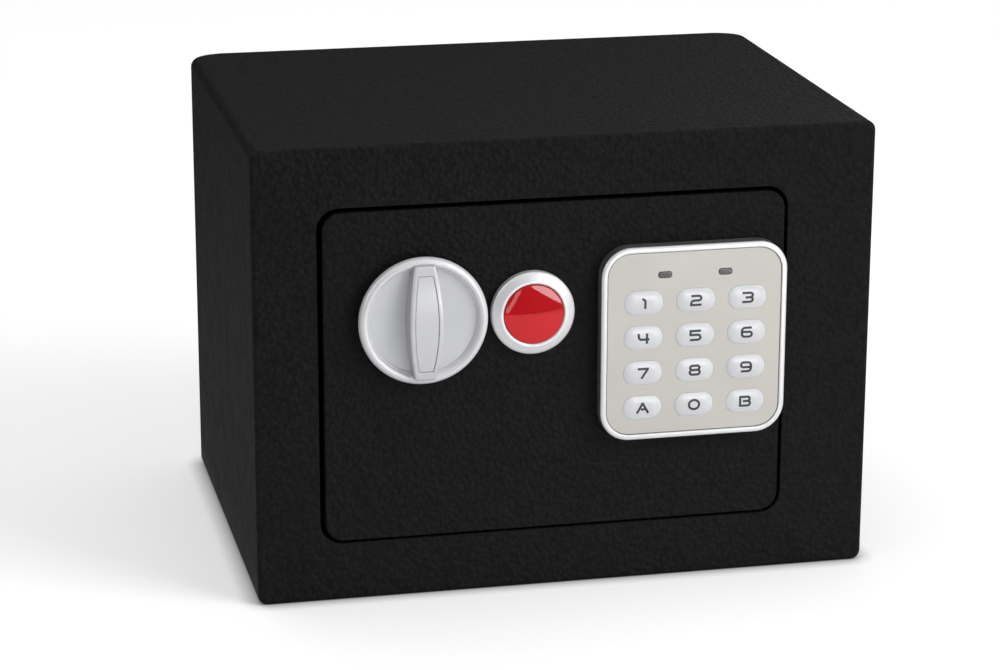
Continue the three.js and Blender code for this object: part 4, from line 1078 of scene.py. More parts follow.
def repaint(piece: bpy.types.Object, finish: Finish, picked: Callable[[Vector], bool]) -> None:
    """Gives some of a piece's faces a second finish.

    Args:
        piece: the piece.
        finish: the second finish.
        picked: tells from a face's middle whether it gets the second finish.
    """
    piece.data.materials.append(dressed(finish))
    for face in piece.data.polygons:
        face.material_index = int(picked(face.center))


def fine_copy(node: str, finish: Finish, edge: float = 0.25, sharp: float = 35.0) -> bpy.types.Object:
    """A node's own shape with merged faces and broken edges, standing for the node.

    Args:
        node: the node's name.
        finish: what it is finished in.
        edge: how wide its edges are broken, in millimetres.
        sharp: the angle in degrees past which an edge is broken.

    Returns:
        The piece, riding on the node's body.
    """
    grown = bmesh.new()
    grown.from_mesh(frame["nodes"][node].data)
    bmesh.ops.remove_doubles(grown, verts=grown.verts[:], dist=TINY)
    flat = math.radians(1)
    bmesh.ops.dissolve_limit(grown, angle_limit=flat, verts=grown.verts[:], edges=grown.edges[:])
    data = bpy.data.meshes.new(f"{node}_made")
    grown.to_mesh(data)
    grown.free()
    return settle(placed(f"{node}_made", data, finish, sharp, edge), node)


def eased(profile: Sequence[Point], radius: float, hollow: bool) -> list[Point]:
    """A profile whose corners are rounded a little, apart from those on the axis.

    Args:
        profile: its points.
        radius: the radius of a corner.
        hollow: whether it closes on itself.

    Returns:
        The rounded profile.
    """
    points: list[Point] = []
    for i, corner in enumerate(profile):
        if corner[0] < TINY:
            points.append(corner)
            continue
        before = Vector(profile[i - 1 if i or hollow else i])
        after = Vector(profile[(i + 1) % len(profile)])
        here = Vector(corner)
        legs = [near - here for near in (before, after)]
        cuts = [here + leg * min(radius / leg.length, EASE_MOST) for leg in legs if leg.length]
        middle = (here + (cuts[0] + cuts[-1]) / 2) / 2
        points += [tuple(cuts[0]), tuple(middle), tuple(cuts[-1])]
    return points


def turned(
    node: str,
    finish: Finish,
    profile: Sequence[Point],
    run: Run = Run.DEPTH,
    hollow: bool = False,
    ease: float = 0.15,
    steps: int = 72,
    drill: Skin | None = None,
) -> bpy.types.Object:
    """Turns a piece about the middle of its node, with eased edges.

    Args:
        node: the node for which it stands.
        finish: what it is finished in.
        profile: (radius, place along the run) pairs.
        run: the direction of its axis.
        hollow: whether the profile closes on itself round a bore.
        ease: how wide its corners are rounded.
        steps: how many faces go round.
        drill: what is cut out of it.

    Returns:
        The piece, riding on the node's body.
    """
    place = Place.of(node)
    centre = {
        Run.DEPTH: (place.x, place.z),
        Run.UPRIGHT: (place.x, place.depth),
        Run.ACROSS: (place.depth, place.z),
    }[run]
    skin = Skin(run)
    skin.turn(eased(profile, ease, hollow), centre, steps, hollow)
    return settle(skin.finish(f"{node}_turned", finish, drill=drill), node)


# Trees of geometry nodes


class Tree(Wiring):
    """A tree of geometry nodes with named inputs."""

    prefix = "GeometryNode"

    def __init__(self, name: str, **inputs: str) -> None:
        """Starts a tree.

        Args:
            name: what it makes.
            inputs: each named input's socket type.
        """
        super().__init__(bpy.data.node_groups.new(name, "GeometryNodeTree"))
        face = self.tree.interface
        for key, kind in {"Geometry": "Geometry", **inputs}.items():
            face.new_socket(key, in_out="INPUT", socket_type=f"NodeSocket{kind}")
        face.new_socket("Geometry", in_out="OUTPUT", socket_type="NodeSocketGeometry")
        self.start = self.tree.nodes.new("NodeGroupInput")
        self.end = self.tree.nodes.new("NodeGroupOutput")

    def given(self, name: str) -> Socket:
        """The socket of a named input."""
        return self.start.outputs[name]

    def close(self, shape: Socket) -> None:
        """Realizes what was made, gives it its material and ends the tree.

        Args:
            shape: what was made.
        """
        real = self.node("RealizeInstances", shape)
        painted = self.node("SetMaterial", real.outputs[0], Material=self.given("Material"))
        self.feed(self.end.inputs[0], painted.outputs[0])

    def grow(self, seed: bpy.types.Mesh, **inputs: object) -> bpy.types.Mesh:
        """Grows the tree on a mesh and returns the plain result.

        Args:
            seed: the points or edges to grow on.
            inputs: values of the named inputs.

        Returns:
            A mesh with no modifier behind it.
        """
        sockets = {item.name: item.identifier for item in self.tree.interface.items_tree}
        base = bpy.data.objects.new("seed", seed)
        bpy.context.scene.collection.objects.link(base)
        grow = base.modifiers.new("grow", "NODES")
        grow.node_group = self.tree
        for name, value in inputs.items():
            grow[sockets[name]] = value
        data = baked(base)
        bpy.data.objects.remove(base)
        return data


def plain_mesh(
    name: str,
    points: Sequence[Sequence[float]],
    edges: Sequence[tuple[int, int]] = (),
    faces: Sequence[Sequence[int]] = (),
) -> bpy.types.Mesh:
    """A mesh of points in metres, and of edges or faces between them.

    Args:
        name: its name.
        points: its points.
        edges: pairs of points.
        faces: the points of each face.

    Returns:
        The mesh.
    """
    data = bpy.data.meshes.new(name)
    data.from_pydata([Vector(p) for p in points], edges, faces)
    return data


def stroke_tree() -> Tree:
    """A tree that draws flat strokes of one width along edges, with rounded corners.

    Returns:
        The tree.
    """
    sizes = {"Width": "Float", "Thickness": "Float", "Corner": "Float"}
    tree = Tree("printed strokes", **sizes, Material="Material")
    line = tree.node("MeshToCurve", tree.given("Geometry"))
    corner = {"Radius": tree.given("Corner"), "Limit_Radius": True, "Count": 7}
    soft = tree.node("FilletCurve", line.outputs[0], mode="POLY", **corner)
    fine = tree.node("SubdivideCurve", soft.outputs[0], Cuts=5)
    flat = tree.node("SetCurveNormal", fine.outputs[0], mode="Z_UP")
    size = {"Width": tree.given("Width"), "Height": tree.given("Thickness")}
    nib = tree.node("CurvePrimitiveQuadrilateral", **size)
    band = tree.node("CurveToMesh", flat.outputs[0], nib.outputs[0], Fill_Caps=True)
    tree.close(band.outputs[0])
    return tree


def coil_tree() -> Tree:
    """A tree that winds a round wire into a spring on each point.

    Returns:
        The tree.
    """
    sizes = {"Turns": "Float", "Radius": "Float", "Height": "Float", "Wire": "Float"}
    tree = Tree("coil springs", **sizes, Material="Material")
    path = tree.node(
        "CurveSpiral",
        Resolution=28,
        Rotations=tree.given("Turns"),
        Start_Radius=tree.given("Radius"),
        End_Radius=tree.given("Radius"),
        Height=tree.given("Height"),
    )
    wire = tree.node("CurvePrimitiveCircle", Resolution=10, Radius=tree.given("Wire"))
    coil = tree.node("CurveToMesh", path.outputs[0], wire.outputs[0], Fill_Caps=True)
    stand = tree.node("InstanceOnPoints", tree.given("Geometry"), Instance=coil.outputs[0])
    tree.close(stand.outputs[0])
    return tree


def copies_tree() -> Tree:
    """A tree that sets a copy of one piece on each point.

    Returns:
        The tree.
    """
    tree = Tree("set of copies", Piece="Object", Material="Material")
    piece = tree.node("ObjectInfo", tree.given("Piece")).outputs["Geometry"]
    stand = tree.node("InstanceOnPoints", tree.given("Geometry"), Instance=piece)
    tree.close(stand.outputs[0])
    return tree


# Cabinet


@dataclass
class Cabinet:
    """The folded shell with its front frame, the welded back, the mat and the angle for the bolts."""

    sheet: float = 1.5
    corner: float = 3.5
    bend: float = 1.6
    back_bend: float = 8.0
    opening: Rounded = Rounded((-4.775, 84.7), 173.95, 125.8, 8.0)
    cut_edge: float = 0.28
    weld_gap: float = 0.2
    back_edge: float = 0.2
    hole_edge: float = 0.25
    mat_corner: float = 2.0
    mat_edge: float = 0.5
    mat_hole_edge: float = 0.4
    anchor: float = 4.5
    anchor_out: float = 70.0
    anchor_up: float = 100.0

    def build(self) -> None:
        """Makes the fixed pieces."""
        self.shell()
        self.back()
        self.mat()
        fine_copy("bolt_keeper", ZINC)

    def anchors(self, row: float) -> list[Round]:
        """Two anchor holes in a row, side by side."""
        return [Round((side * self.anchor_out, row), self.anchor) for side in (-1, 1)]

    def floor_holes(self) -> list[Round]:
        """The anchor holes through the floor and the mat."""
        return self.anchors(Place.of("cabinet_shell").depth)

    def shell(self) -> None:
        """Bends the walls and the front frame from one sheet, with the door's opening in the frame."""
        place = Place.of("cabinet_shell")
        skin = Skin()
        walls = [
            skin.ring(self.section(narrowing, inset), w)
            for narrowing, inset, w in self.stations(place.near, place.far)
        ]
        skin.wall(walls)
        lip = [(-inset, place.near + drop) for inset, drop in reversed(rolled(self.cut_edge, 3))]
        opening = skin.walled(self.opening, [*lip, (0.0, place.near + self.sheet)])
        skin.fill(walls[0], opening[0])
        skin.fill(walls[-1], opening[-1])
        drill = Skin(Run.UPRIGHT)
        for hole in self.floor_holes():
            drill.slab(hole, -OVERCUT, self.sheet + OVERCUT)
        settle(skin.finish("cabinet_walls", COAT, drill=drill), "cabinet_shell")

    def section(self, narrowing: float, inset: float) -> Outline:
        """The walls' outline from the front, whose corners grow rounder as its sides bend in.

        Args:
            narrowing: how far both sides have bent in.
            inset: how far it lies inside the outer faces.

        Returns:
            The outline.
        """
        whole = Place.of("cabinet_shell").rounded(self.corner)
        share = narrowing / (self.back_bend - inset)
        radius = self.corner + (self.back_bend - self.corner) * share
        return replace(whole, width=whole.width - 2 * narrowing, radius=radius).grown(-inset)

    def stations(self, near: float, far: float) -> list[tuple[float, float, float]]:
        """How the walls run from the front frame, round the bends at the back and home inside.

        Args:
            near: the depth of the frame's face.
            far: the depth of the back.

        Returns:
            (narrowing of both sides, inset all round, depth) for each outline.
        """
        inner = self.back_bend - self.sheet
        *bend, (last, drop), _ = rolled(self.back_bend, 12)
        stations = [(0.0, inset, near + into) for inset, into in reversed(rolled(self.bend, 6))]
        stations += [(narrowing, 0.0, far - left) for narrowing, left in bend]
        stations.append((last, self.cut_edge / 2, far - drop))
        stations.append((self.back_bend - 2 * self.cut_edge, self.cut_edge, far))
        stations.append((inner, self.sheet, far))
        stations += [
            (narrowing, self.sheet, far - self.sheet - left)
            for narrowing, left in reversed(rolled(inner, 10))
        ]
        stations.append((0.0, self.sheet, near + self.sheet))
        return stations

    def back(self) -> None:
        """Cuts the back panel with its two anchor holes."""
        place = Place.of("back_panel")
        shape = place.rounded(self.back_bend - self.sheet - self.weld_gap)
        holes = self.anchors(self.anchor_up)
        skin = Skin()
        skin.slab(shape, place.near, place.far, self.back_edge, holes, self.hole_edge)
        settle(skin.finish("cabinet_back", COAT), "back_panel")

    def mat(self) -> None:
        """Lays the felt mat on the floor, cut round the anchor holes."""
        place = Place.of("floor_mat")
        width, length = place.right - place.left, place.far - place.near
        shape = Rounded((place.x, place.depth), width, length, self.mat_corner)
        holes = self.floor_holes()
        skin = Skin(Run.UPRIGHT)
        skin.slab(shape, place.bottom, place.top, self.mat_edge, holes, self.mat_hole_edge)
        felt = settle(skin.finish("felt_mat", FELT), "floor_mat")


@dataclass
class Hinges:
    """Two swan-neck hinges behind the wide margin: a bracket, a pin and an arm each."""

    arm_edge: float = 0.4
    pin: float = 2.0
    pin_tip: float = 0.3
    head: float = 3.4
    head_height: float = 1.2
    head_rim: float = 0.2

    def build(self) -> None:
        """Makes both hinges."""
        for level in ("upper", "lower"):
            fine_copy(f"hinge_bracket_{level}", ZINC)
            fine_copy(f"swan_neck_{level}", ZINC, self.arm_edge)
            self.rivet(f"hinge_pin_{level}")

    def rivet(self, node: str) -> None:
        """Turns a hinge pin with a rounded rivet head.

        Args:
            node: the pin's solid.
        """
        place = Place.of(node)
        base = place.top - self.head_height
        rise = self.head_height - self.head_rim
        dome = arc((0.0, base + self.head_rim), self.head, 0.0, QUARTER, 6, rise)
        profile = [
            (0.0, place.bottom),
            (self.pin - self.pin_tip, place.bottom),
            (self.pin, place.bottom + self.pin_tip),
            (self.pin, base),
            (self.head, base),
            *dome[:-1],
            (0.0, place.top),
        ]
        skin = Skin(Run.UPRIGHT)
        skin.turn(profile, (place.x, place.depth), 48)
        settle(skin.finish(f"{node}_turned", STEEL_UPRIGHT), node)


# Door


@dataclass
class Door:
    """The door plate, and the folded cover with its three screws on the plate's back."""

    fixings: tuple[str, ...] = (
        "cover_screw_upper_left",
        "cover_screw_upper_right",
        "cover_screw_lower",
    )
    radius: float = 7.0
    edge: float = 0.6
    hole_edge: float = 0.1
    bush_hole: float = 6.15
    lock_hole: float = 9.05
    wire_hole: float = 4.5
    cover_radius: float = 4.0
    cover_bend: float = 1.2
    cover_sheet: float = 1.0
    bolt_hole: float = 6.6
    screw_hole: float = 2.3
    tapped: float = 1.5
    reset_hole: float = 2.35
    screw: float = 2.0
    screw_tip: float = 0.3
    screw_head: float = 3.6
    screw_head_height: float = 1.6
    screw_head_round: float = 0.5
    screw_edge: float = 0.12
    socket: float = 1.3
    socket_depth: float = 1.1

    def build(self) -> None:
        """Makes the plate, the cover and the screws."""
        self.plate()
        self.cover()
        self.screws()

    def screw_places(self) -> list[Point]:
        """Where the cover is screwed to the plate."""
        return [(Place.of(node).x, Place.of(node).z) for node in self.fixings]

    def plate(self) -> None:
        """Cuts the door plate, with holes for the spindle, the lock, the wires and the screws."""
        place = Place.of("door_plate")
        knob, lock, keypad = (Place.of(n) for n in ("knob_dial", "lock_body", "keypad_housing"))
        holes = [
            Round((knob.x, knob.z), self.bush_hole),
            Round((lock.x, lock.z), self.lock_hole),
            Round((keypad.x, keypad.z), self.wire_hole),
        ]
        shape, back = place.rounded(self.radius), place.far
        skin = Skin()
        skin.slab(shape, place.near, back, self.edge, holes, self.hole_edge)
        drill = Skin()
        for centre in self.screw_places():
            drill.slab(Round(centre, self.screw_hole, 32), back - self.tapped, back + OVERCUT)
        settle(skin.finish("door_panel", COAT, drill=drill), "door_plate")

    def cover(self) -> None:
        """Folds the cover over the works, with its window, holes and the way out for the bolts."""
        place = Place.of("mechanism_cover")
        outline = place.rounded(self.cover_radius)
        sheet, skin = self.cover_sheet, Skin()
        bend = [(inset, place.far - drop) for inset, drop in rolled(self.cover_bend, 5)]
        outer = skin.walled(outline, [(0.0, place.near), *bend])
        bend = [
            (sheet + inset, place.far - sheet - drop)
            for inset, drop in rolled(self.cover_bend - sheet, 2)
        ]
        inner = skin.walled(outline, [(sheet, place.near), *bend])
        skin.fill(outer[0], inner[0])
        reset = Place.of("reset_button")
        holes: list[Shape] = [Round((reset.x, reset.z), self.reset_hole, 32)]
        holes += [Round(centre, self.screw_hole, 32) for centre in self.screw_places()]
        holes.append(BatteryBay().window())
        cut = [skin.walled(hole, [(0.0, place.far), (0.0, place.far - sheet)]) for hole in holes]
        skin.fill(outer[-1], *(rings[0] for rings in cut))
        skin.fill(inner[-1], *(rings[1] for rings in cut))
        drill = Skin(Run.ACROSS)
        for node in ("bolt_upper", "bolt_lower"):
            bolt = Place.of(node)
            hole = Round((bolt.depth, bolt.z), self.bolt_hole, 64)
            drill.slab(hole, place.left - OVERCUT, place.left + sheet + OVERCUT)
        settle(skin.finish("works_cover", COAT_FINE, drill=drill), "mechanism_cover")

    def screws(self) -> None:
        """Sets three socket screws, each a copy of one turned screw."""
        place = Place.of("cover_screw_lower")
        seat, soft = place.far - self.screw_head_height, self.screw_head_round
        profile = [
            (0.0, place.near),
            (self.screw - self.screw_tip, place.near),
            (self.screw, place.near + self.screw_tip),
            (self.screw, seat),
            (self.screw_head, seat),
            *arc((self.screw_head - soft, place.far - soft), soft, 0.0, QUARTER, 4),
        ]
        skin = Skin()
        top = skin.turn(profile, (0.0, 0.0), 48)
        stack = [(0.0, place.far), (0.0, place.far - self.socket_depth)]
        hexagon = skin.walled(Round((0.0, 0.0), self.socket, 6), stack)
        skin.fill(top, hexagon[0])
        skin.fill(hexagon[1])
        model = skin.finish("cover_screw_model", STEEL, edge=self.screw_edge)
        seed = plain_mesh("screw places", [(x * MM, 0.0, z * MM) for x, z in self.screw_places()])
        data = copies_tree().grow(seed, Piece=model, Material=dressed(STEEL))
        bpy.data.objects.remove(model)
        settle(placed("cover_screws", data, STEEL), *self.fixings)


# Keypad


class Glyph(Enum):
    """The keys' characters, as strokes in a box from -1 to 1; one that ends as it starts is a loop."""

    ONE = (((-0.42, 0.95), (0.22, 0.95), (0.22, -1.2)),)
    TWO = (((-1, 1), (1, 1), (1, 0), (-1, 0), (-1, -1)), ((-1.22, -1), (1.1, -1)))
    THREE = (((-1.1, 1), (1, 1), (1, 0), (-0.45, 0)), ((0.1, 0), (1, 0), (1, -1), (-1.1, -1)))
    FOUR = (((-1, 1.1), (-1, -0.22), (1.15, -0.22)), ((0.65, 1.1), (0.65, -1.2)))
    FIVE = (
        ((1.1, 1), (-1.22, 1)),
        ((-1, 1), (-1, 0.12)),
        ((-1.22, 0.12), (1, 0.12), (1, -1), (-1.1, -1)),
    )
    SIX = (((1, 1), (-1, 1), (-1, -1), (1, -1), (1, 0.08), (-1, 0.08)),)
    SEVEN = (((-1.1, 1), (1.15, 1)), ((0.95, 1), (-0.35, -1.2)))
    EIGHT = (
        ((0.93, 1), (0.93, 0.04), (-0.93, 0.04), (-0.93, 1), (0.93, 1)),
        ((1, 0.04), (1, -1), (-1, -1), (-1, 0.04), (1, 0.04)),
    )
    NINE = (((1, -0.08), (-1, -0.08), (-1, 1), (1, 1), (1, -1), (-1, -1)),)
    A = (
        ((-1.15, -1.2), (0.05, 1.15)),
        ((1.15, -1.2), (-0.05, 1.15)),
        ((-0.35, -0.3), (0.62, -0.3)),
    )
    ZERO = (tuple(circle((0.0, 0.0), 1.04, 16) + [(1.04, 0.0)]),)
    B = (
        ((-1, 1.2), (-1, -1.2)),
        ((-1, 1), (0.92, 1), (0.92, 0.04), (-0.45, 0.04)),
        ((0.1, 0.04), (1, 0.04), (1, -1), (-1, -1)),
    )


LED_WINDOWS = ("led_window_left", "led_window_right")
GLYPHS = {f"key_{mark}": glyph for mark, glyph in zip("123456789a0b", Glyph, strict=True)}


@dataclass
class Keypad:
    """A rimmed housing, a faceplate with twelve pillow keys and two windows, and the board."""

    radius: float = 11.0
    rim: float = 2.1
    rim_round: float = 0.95
    rim_inner: float = 0.4
    ledge: float = 1.0
    face_gap: float = 0.15
    face_edge: float = 0.3
    hole_edge: float = 0.12
    foot: float = 0.25
    floor: float = 1.0
    wire_hole: float = 4.5
    board_edge: float = 0.15
    lens_play: float = 0.05
    lens_edge: float = 0.35
    key_width: float = 14.5
    key_height: float = 8.9
    key_radius: float = 4.2
    key_gap: float = 0.04
    key_edge: float = 0.02
    key_reach: float = 3.7
    key_rings: int = 9
    key_spread: float = 1.7
    key_pillow: float = 0.8
    flange: float = 0.8
    flange_lip: float = 0.7
    key_crease: float = 50.0
    print_width: float = 3.75
    print_height: float = 3.4
    stroke: float = 0.87
    stroke_corner: float = 1.15
    proud: float = 0.025
    layer: float = 0.005

    def build(self) -> None:
        """Makes the keypad from the back to the front."""
        self.housing()
        self.faceplate()
        fine_copy("keypad_board", BOARD, self.board_edge)
        for node in LED_WINDOWS:
            self.window(node)
        strokes = stroke_tree()
        for node, glyph in GLYPHS.items():
            self.key(node)
            self.print(node, glyph, strokes)

    def housing(self) -> None:
        """Moulds the rim, the seat for the faceplate and the pocket for the board."""
        place, face = Place.of("keypad_housing"), Place.of("keypad_faceplate")
        outline = place.rounded(self.radius, 14)
        stack = [(self.foot, place.far), (0.0, place.far - self.foot)]
        stack += [(inset, place.near + drop) for inset, drop in rolled(self.rim_round, 7)]
        inner = reversed(rolled(self.rim_inner, 3))
        stack += [(self.rim - inset, place.near + drop) for inset, drop in inner]
        seat, bottom = self.rim + self.ledge, place.far - self.floor
        stack += [(self.rim, face.far), (seat, face.far), (seat, bottom)]
        skin = Skin()
        rings = skin.walled(outline, stack)
        hole = Round((place.x, place.z), self.wire_hole)
        mouth = skin.walled(hole, [(0.0, place.far), (0.0, bottom)])
        skin.fill(rings[0], mouth[0])
        skin.fill(rings[-1], mouth[1])
        rim = settle(skin.finish("keypad_rim", RIM_SILVER), "keypad_housing")
        # The housing's side behind the rounded rim gets the darker copy, a painted dark reflection.
        side = FRONT_Y + (place.near + self.rim_round) * MM
        repaint(rim, RIM_SIDE_PAINTED_DARK, lambda middle: middle.y > side)

    def keyhole(self, node: str) -> Rounded:
        """The outline of a key, at its own place."""
        place = Place.of(node)
        return Rounded((place.x, place.z), self.key_width, self.key_height, self.key_radius, 8)

    def faceplate(self) -> None:
        """Stamps the faceplate, with soft edges round each key and window."""
        place = Place.of("keypad_faceplate")
        outline = place.rounded(self.radius - self.rim - self.face_gap, 14)
        holes = [self.keyhole(node).widened(self.key_gap) for node in GLYPHS]
        for window in map(Place.of, LED_WINDOWS):
            half = (window.top - window.bottom) / 2
            holes.append(window.rounded(half - self.face_gap, 8).widened(self.face_gap))
        skin = Skin()
        skin.slab(outline, place.near, place.far, self.face_edge, holes, self.hole_edge)
        settle(skin.finish("keypad_face", FACE), "keypad_faceplate")

    def window(self, node: str) -> None:
        """Moulds a smoked window with a softly crowned front.

        Args:
            node: the window's solid.
        """
        place = Place.of(node)
        shape = place.rounded((place.top - place.bottom) / 2 - self.lens_play, 8)
        edge = [(inset, place.near + drop) for inset, drop in rolled(self.lens_edge)]
        skin = Skin()
        skin.solid(shape, [(0.0, place.far), *edge])
        settle(skin.finish(f"{node}_lens", LENS), node)

    def crown(self, node: str, inset: float) -> float:
        """The depth of a key's pillowed front at a distance inside its edge.

        Args:
            node: the key's solid.
            inset: the distance.

        Returns:
            The depth.
        """
        place, face = Place.of(node), Place.of("keypad_faceplate")
        low = face.near - self.key_edge
        share = max(0.0, min(inset / self.key_reach, 1.0))
        return low + (place.near - low) * math.sin(share * QUARTER) ** self.key_pillow

    def key(self, node: str) -> None:
        """Moulds a key with a pillowed front, and the flange that keeps it in.

        Args:
            node: the key's solid.
        """
        place = Place.of(node)
        shape = self.keyhole(node)
        seat = place.far - self.flange
        stack = [(-self.flange_lip, place.far), (-self.flange_lip, seat), (0.0, seat)]
        for number in range(self.key_rings + 1):
            inset = self.key_reach * (number / self.key_rings) ** self.key_spread
            stack.append((inset, self.crown(node, inset)))
        skin = Skin()
        skin.solid(shape, stack)
        settle(skin.finish(f"{node}_cap", PEARL, self.key_crease), node)

    def print(self, node: str, glyph: Glyph, strokes: Tree) -> None:
        """Prints a key's character on its crown.

        Args:
            node: the key.
            glyph: its character.
            strokes: the tree that draws the strokes.
        """
        place, shape = Place.of(node), self.keyhole(node)
        wide, high = self.print_width / 2 * MM, self.print_height / 2 * MM
        points: list[Spot] = []
        edges: list[tuple[int, int]] = []
        for number, stroke in enumerate(glyph.value):
            first, layer = len(points), -number * self.layer * MM
            closed = math.dist(stroke[0], stroke[-1]) < TINY
            points += [(x * wide, z * high, layer) for x, z in (stroke[:-1] if closed else stroke)]
            edges += [(i, i + 1) for i in range(first, len(points) - 1)]
            if closed:
                edges.append((len(points) - 1, first))
        data = strokes.grow(
            plain_mesh("strokes", points, edges),
            Width=self.stroke * MM,
            Thickness=2 * self.proud * MM,
            Corner=self.stroke_corner * MM,
            Material=dressed(INK),
        )
        for vert in data.vertices:
            x, z, side = vert.co / MM
            across, up = place.x + x, place.z + z
            surface = self.crown(node, shape.inset(across, up))
            vert.co = Skin().spot(across, up, surface - side)
        made = placed(f"{node}_print", data, INK)
        settle(made, body=BODIES[node])


# Knob


@dataclass
class Knob:
    """The dial with its crowned grip bar and inlay, the spindle, its bush and its cam."""

    taper: float = 1.8
    foot: float = 0.25
    shoulder: float = 3.8
    undercut: float = 1.7
    undercut_share: float = 0.7
    crest: float = 6.2
    inner: float = 19.85
    fall: float = 1.7
    bead: float = 0.22
    bead_share: float = 0.3
    bead_rise: float = 0.6
    dish_drop: float = 2.4
    dish_wall: float = 0.4
    dish_lip: Point = (0.12, 0.1)
    dish_crown: float = 0.5
    dish_rings: int = 10
    wall: float = 1.6
    hub: float = 7.0
    dial_crease: float = 30.0
    grip_crease: float = 32.0
    half_length: float = 21.2
    end_half: float = 3.7
    mid_half: float = 6.1
    end_height: float = 8.2
    mid_height: float = 11.8
    grip_edge: float = 0.75
    grip_corner: float = 1.0
    least_corner: float = 0.25
    flank_shade_top: float = 7.25
    draft: float = 0.35
    border: float = 1.7
    end_border: float = 3.4
    recess: float = 0.9
    recess_edge: float = 0.12
    sunk: float = 0.25
    inlay_gap: float = 0.15
    inlay_under: float = 0.05
    inlay_edge: float = 0.22
    spindle: float = 4.0
    bush: float = 6.0
    bush_flange: float = 8.4
    bush_lip: float = 0.8

    def build(self) -> None:
        """Makes the knob from its dial to its cam."""
        self.dial()
        self.grip()
        self.inlay()
        self.shaft()
        fine_copy("spindle_cam", ZINC)

    def front(self, height: float) -> float:
        """The depth of a point at some height above the door's front."""
        return Place.of("door_plate").near - height

    def dial(self) -> None:
        """Turns the dial: an undercut rim rolled over to a bead, and the dished face."""
        place = Place.of("knob_dial")
        outer = (place.right - place.left) / 2
        crest_radius = (outer + self.inner) / 2
        reach, rise = outer - crest_radius, self.crest - self.shoulder
        side = (crest_radius, self.front(self.shoulder))
        below = arc(side, reach, -self.undercut_share * QUARTER, 0.0, 6, -self.undercut)
        above = arc(side, reach, 0.0, QUARTER, 10, -rise)
        inside = crest_radius - self.inner - self.bead
        low = self.front(self.crest - self.fall)
        falls = arc((crest_radius, low), -inside, QUARTER, 0.0, 8, -self.fall)
        start, swell = self.bead_share * QUARTER, -self.bead_rise * self.bead
        bead = arc((self.inner, low), self.bead, start, 2 * QUARTER, 6, swell)
        dish, dish_top = self.inner - self.dish_wall, self.crest - self.dish_drop
        shares = [1 - i / self.dish_rings for i in range(self.dish_rings + 1)]
        floor = [(dish * s, self.front(dish_top - self.dish_crown * (1 - s**2))) for s in shares]
        under, base = self.front(dish_top - self.wall), outer - self.taper
        lip_out, lip_up = self.dish_lip
        profile = [
            (0.0, place.far),
            (self.hub, place.far),
            (self.hub, under),
            (base - 2 * self.wall, under),
            (base - self.wall, place.far),
            (base - self.foot, place.far),
            (base, place.far - self.foot),
            *below[:-1],
            *above,
            *falls[1:],
            *bead,
            (dish + lip_out, self.front(dish_top + lip_up)),
            *floor,
        ]
        skin = Skin()
        skin.turn(profile, (place.x, place.z), 160)
        dial = settle(skin.finish("knob_dish", SILVER, self.dial_crease), "knob_dial")
        # The rim's faces get the lighter copy of the silver, a painted highlight on the rolled rim.
        axis = Skin().spot(place.x, place.z, 0.0).xz
        rim = (self.inner - 0.5 * self.bead) * MM
        repaint(dial, SILVER_RIM_PAINTED_HIGHLIGHT, lambda middle: (middle.xz - axis).length > rim)

    def half_width(self, z: float) -> float:
        """Half the grip's width at a height above its middle.

        Args:
            z: the height.

        Returns:
            The half width.
        """
        bulge = self.mid_half - self.end_half
        radius = (self.half_length**2 + bulge**2) / (2 * bulge)
        return math.sqrt(radius**2 - z**2) - radius + self.mid_half

    def plan(self, inset: float, end_inset: float | None = None, steps: int = 20) -> Outline:
        """The grip in plan: bulging sides between ends with rounded corners.

        Args:
            inset: how far its sides are moved in.
            end_inset: how far its ends are moved in, as far as its sides if left out.
            steps: how many faces a side has.

        Returns:
            The right side upwards and then the left side downwards.
        """
        knob = Place.of("knob_dial")
        end = self.half_length - (inset if end_inset is None else end_inset)
        corner = max(self.grip_corner - max(inset, 0.0), self.least_corner)
        straight = end - corner
        side = self.half_width(straight) - inset - corner
        right = arc((side, -straight), corner, -QUARTER, 0.0, 4)[:-1]
        heights = [straight * (2 * i / steps - 1) for i in range(steps + 1)]
        right += [(self.half_width(z) - inset, z) for z in heights]
        right += arc((side, straight), corner, 0.0, QUARTER, 4)[1:]
        left = [(-x, z) for x, z in reversed(right)]
        return [(knob.x + x, knob.z + z) for x, z in right + left]

    def crowned(self, skin: Skin, outline: Outline, lowered: float) -> Ring:
        """Adds an outline to a skin on the grip's crown, lowered by some amount.

        Args:
            skin: the skin.
            outline: the outline.
            lowered: the distance below the crown.

        Returns:
            The ring.
        """
        knob = Place.of("knob_dial")
        rise = self.mid_height - self.end_height
        radius = (self.half_length**2 + rise**2) / (2 * rise)
        lost = [radius - math.sqrt(radius**2 - (z - knob.z) ** 2) for _, z in outline]
        return skin.ring(outline, [self.front(self.mid_height - fall) + lowered for fall in lost])

    def grip(self) -> None:
        """Moulds the grip bar, with its rolled edges and the recess for the inlay."""
        skin = Skin()
        foot = self.front(self.crest - self.dish_drop - self.dish_crown - self.dish_wall)
        rings = [skin.ring(self.plan(-self.draft, 0.0), foot)]
        for inset, drop in rolled(self.grip_edge, 5):
            rings.append(self.crowned(skin, self.plan(inset), drop))
        edge = self.recess_edge
        mouth = self.plan(self.border - edge, self.end_border - edge)
        walls = self.plan(self.border, self.end_border)
        rings.append(self.crowned(skin, mouth, 0.0))
        rings += [self.crowned(skin, walls, lowered) for lowered in (edge, self.recess)]
        skin.wall(rings)
        skin.rungs(rings[0], rings[-1])
        grip = settle(skin.finish("knob_grip", SILVER, self.grip_crease), body="knob")
        # The grip's sides below the rolled edge get the darker copy of the silver, a painted shade.
        flank = FRONT_Y + self.front(self.flank_shade_top) * MM
        repaint(grip, SILVER_FLANK_PAINTED_SHADE, lambda middle: middle.y > flank)

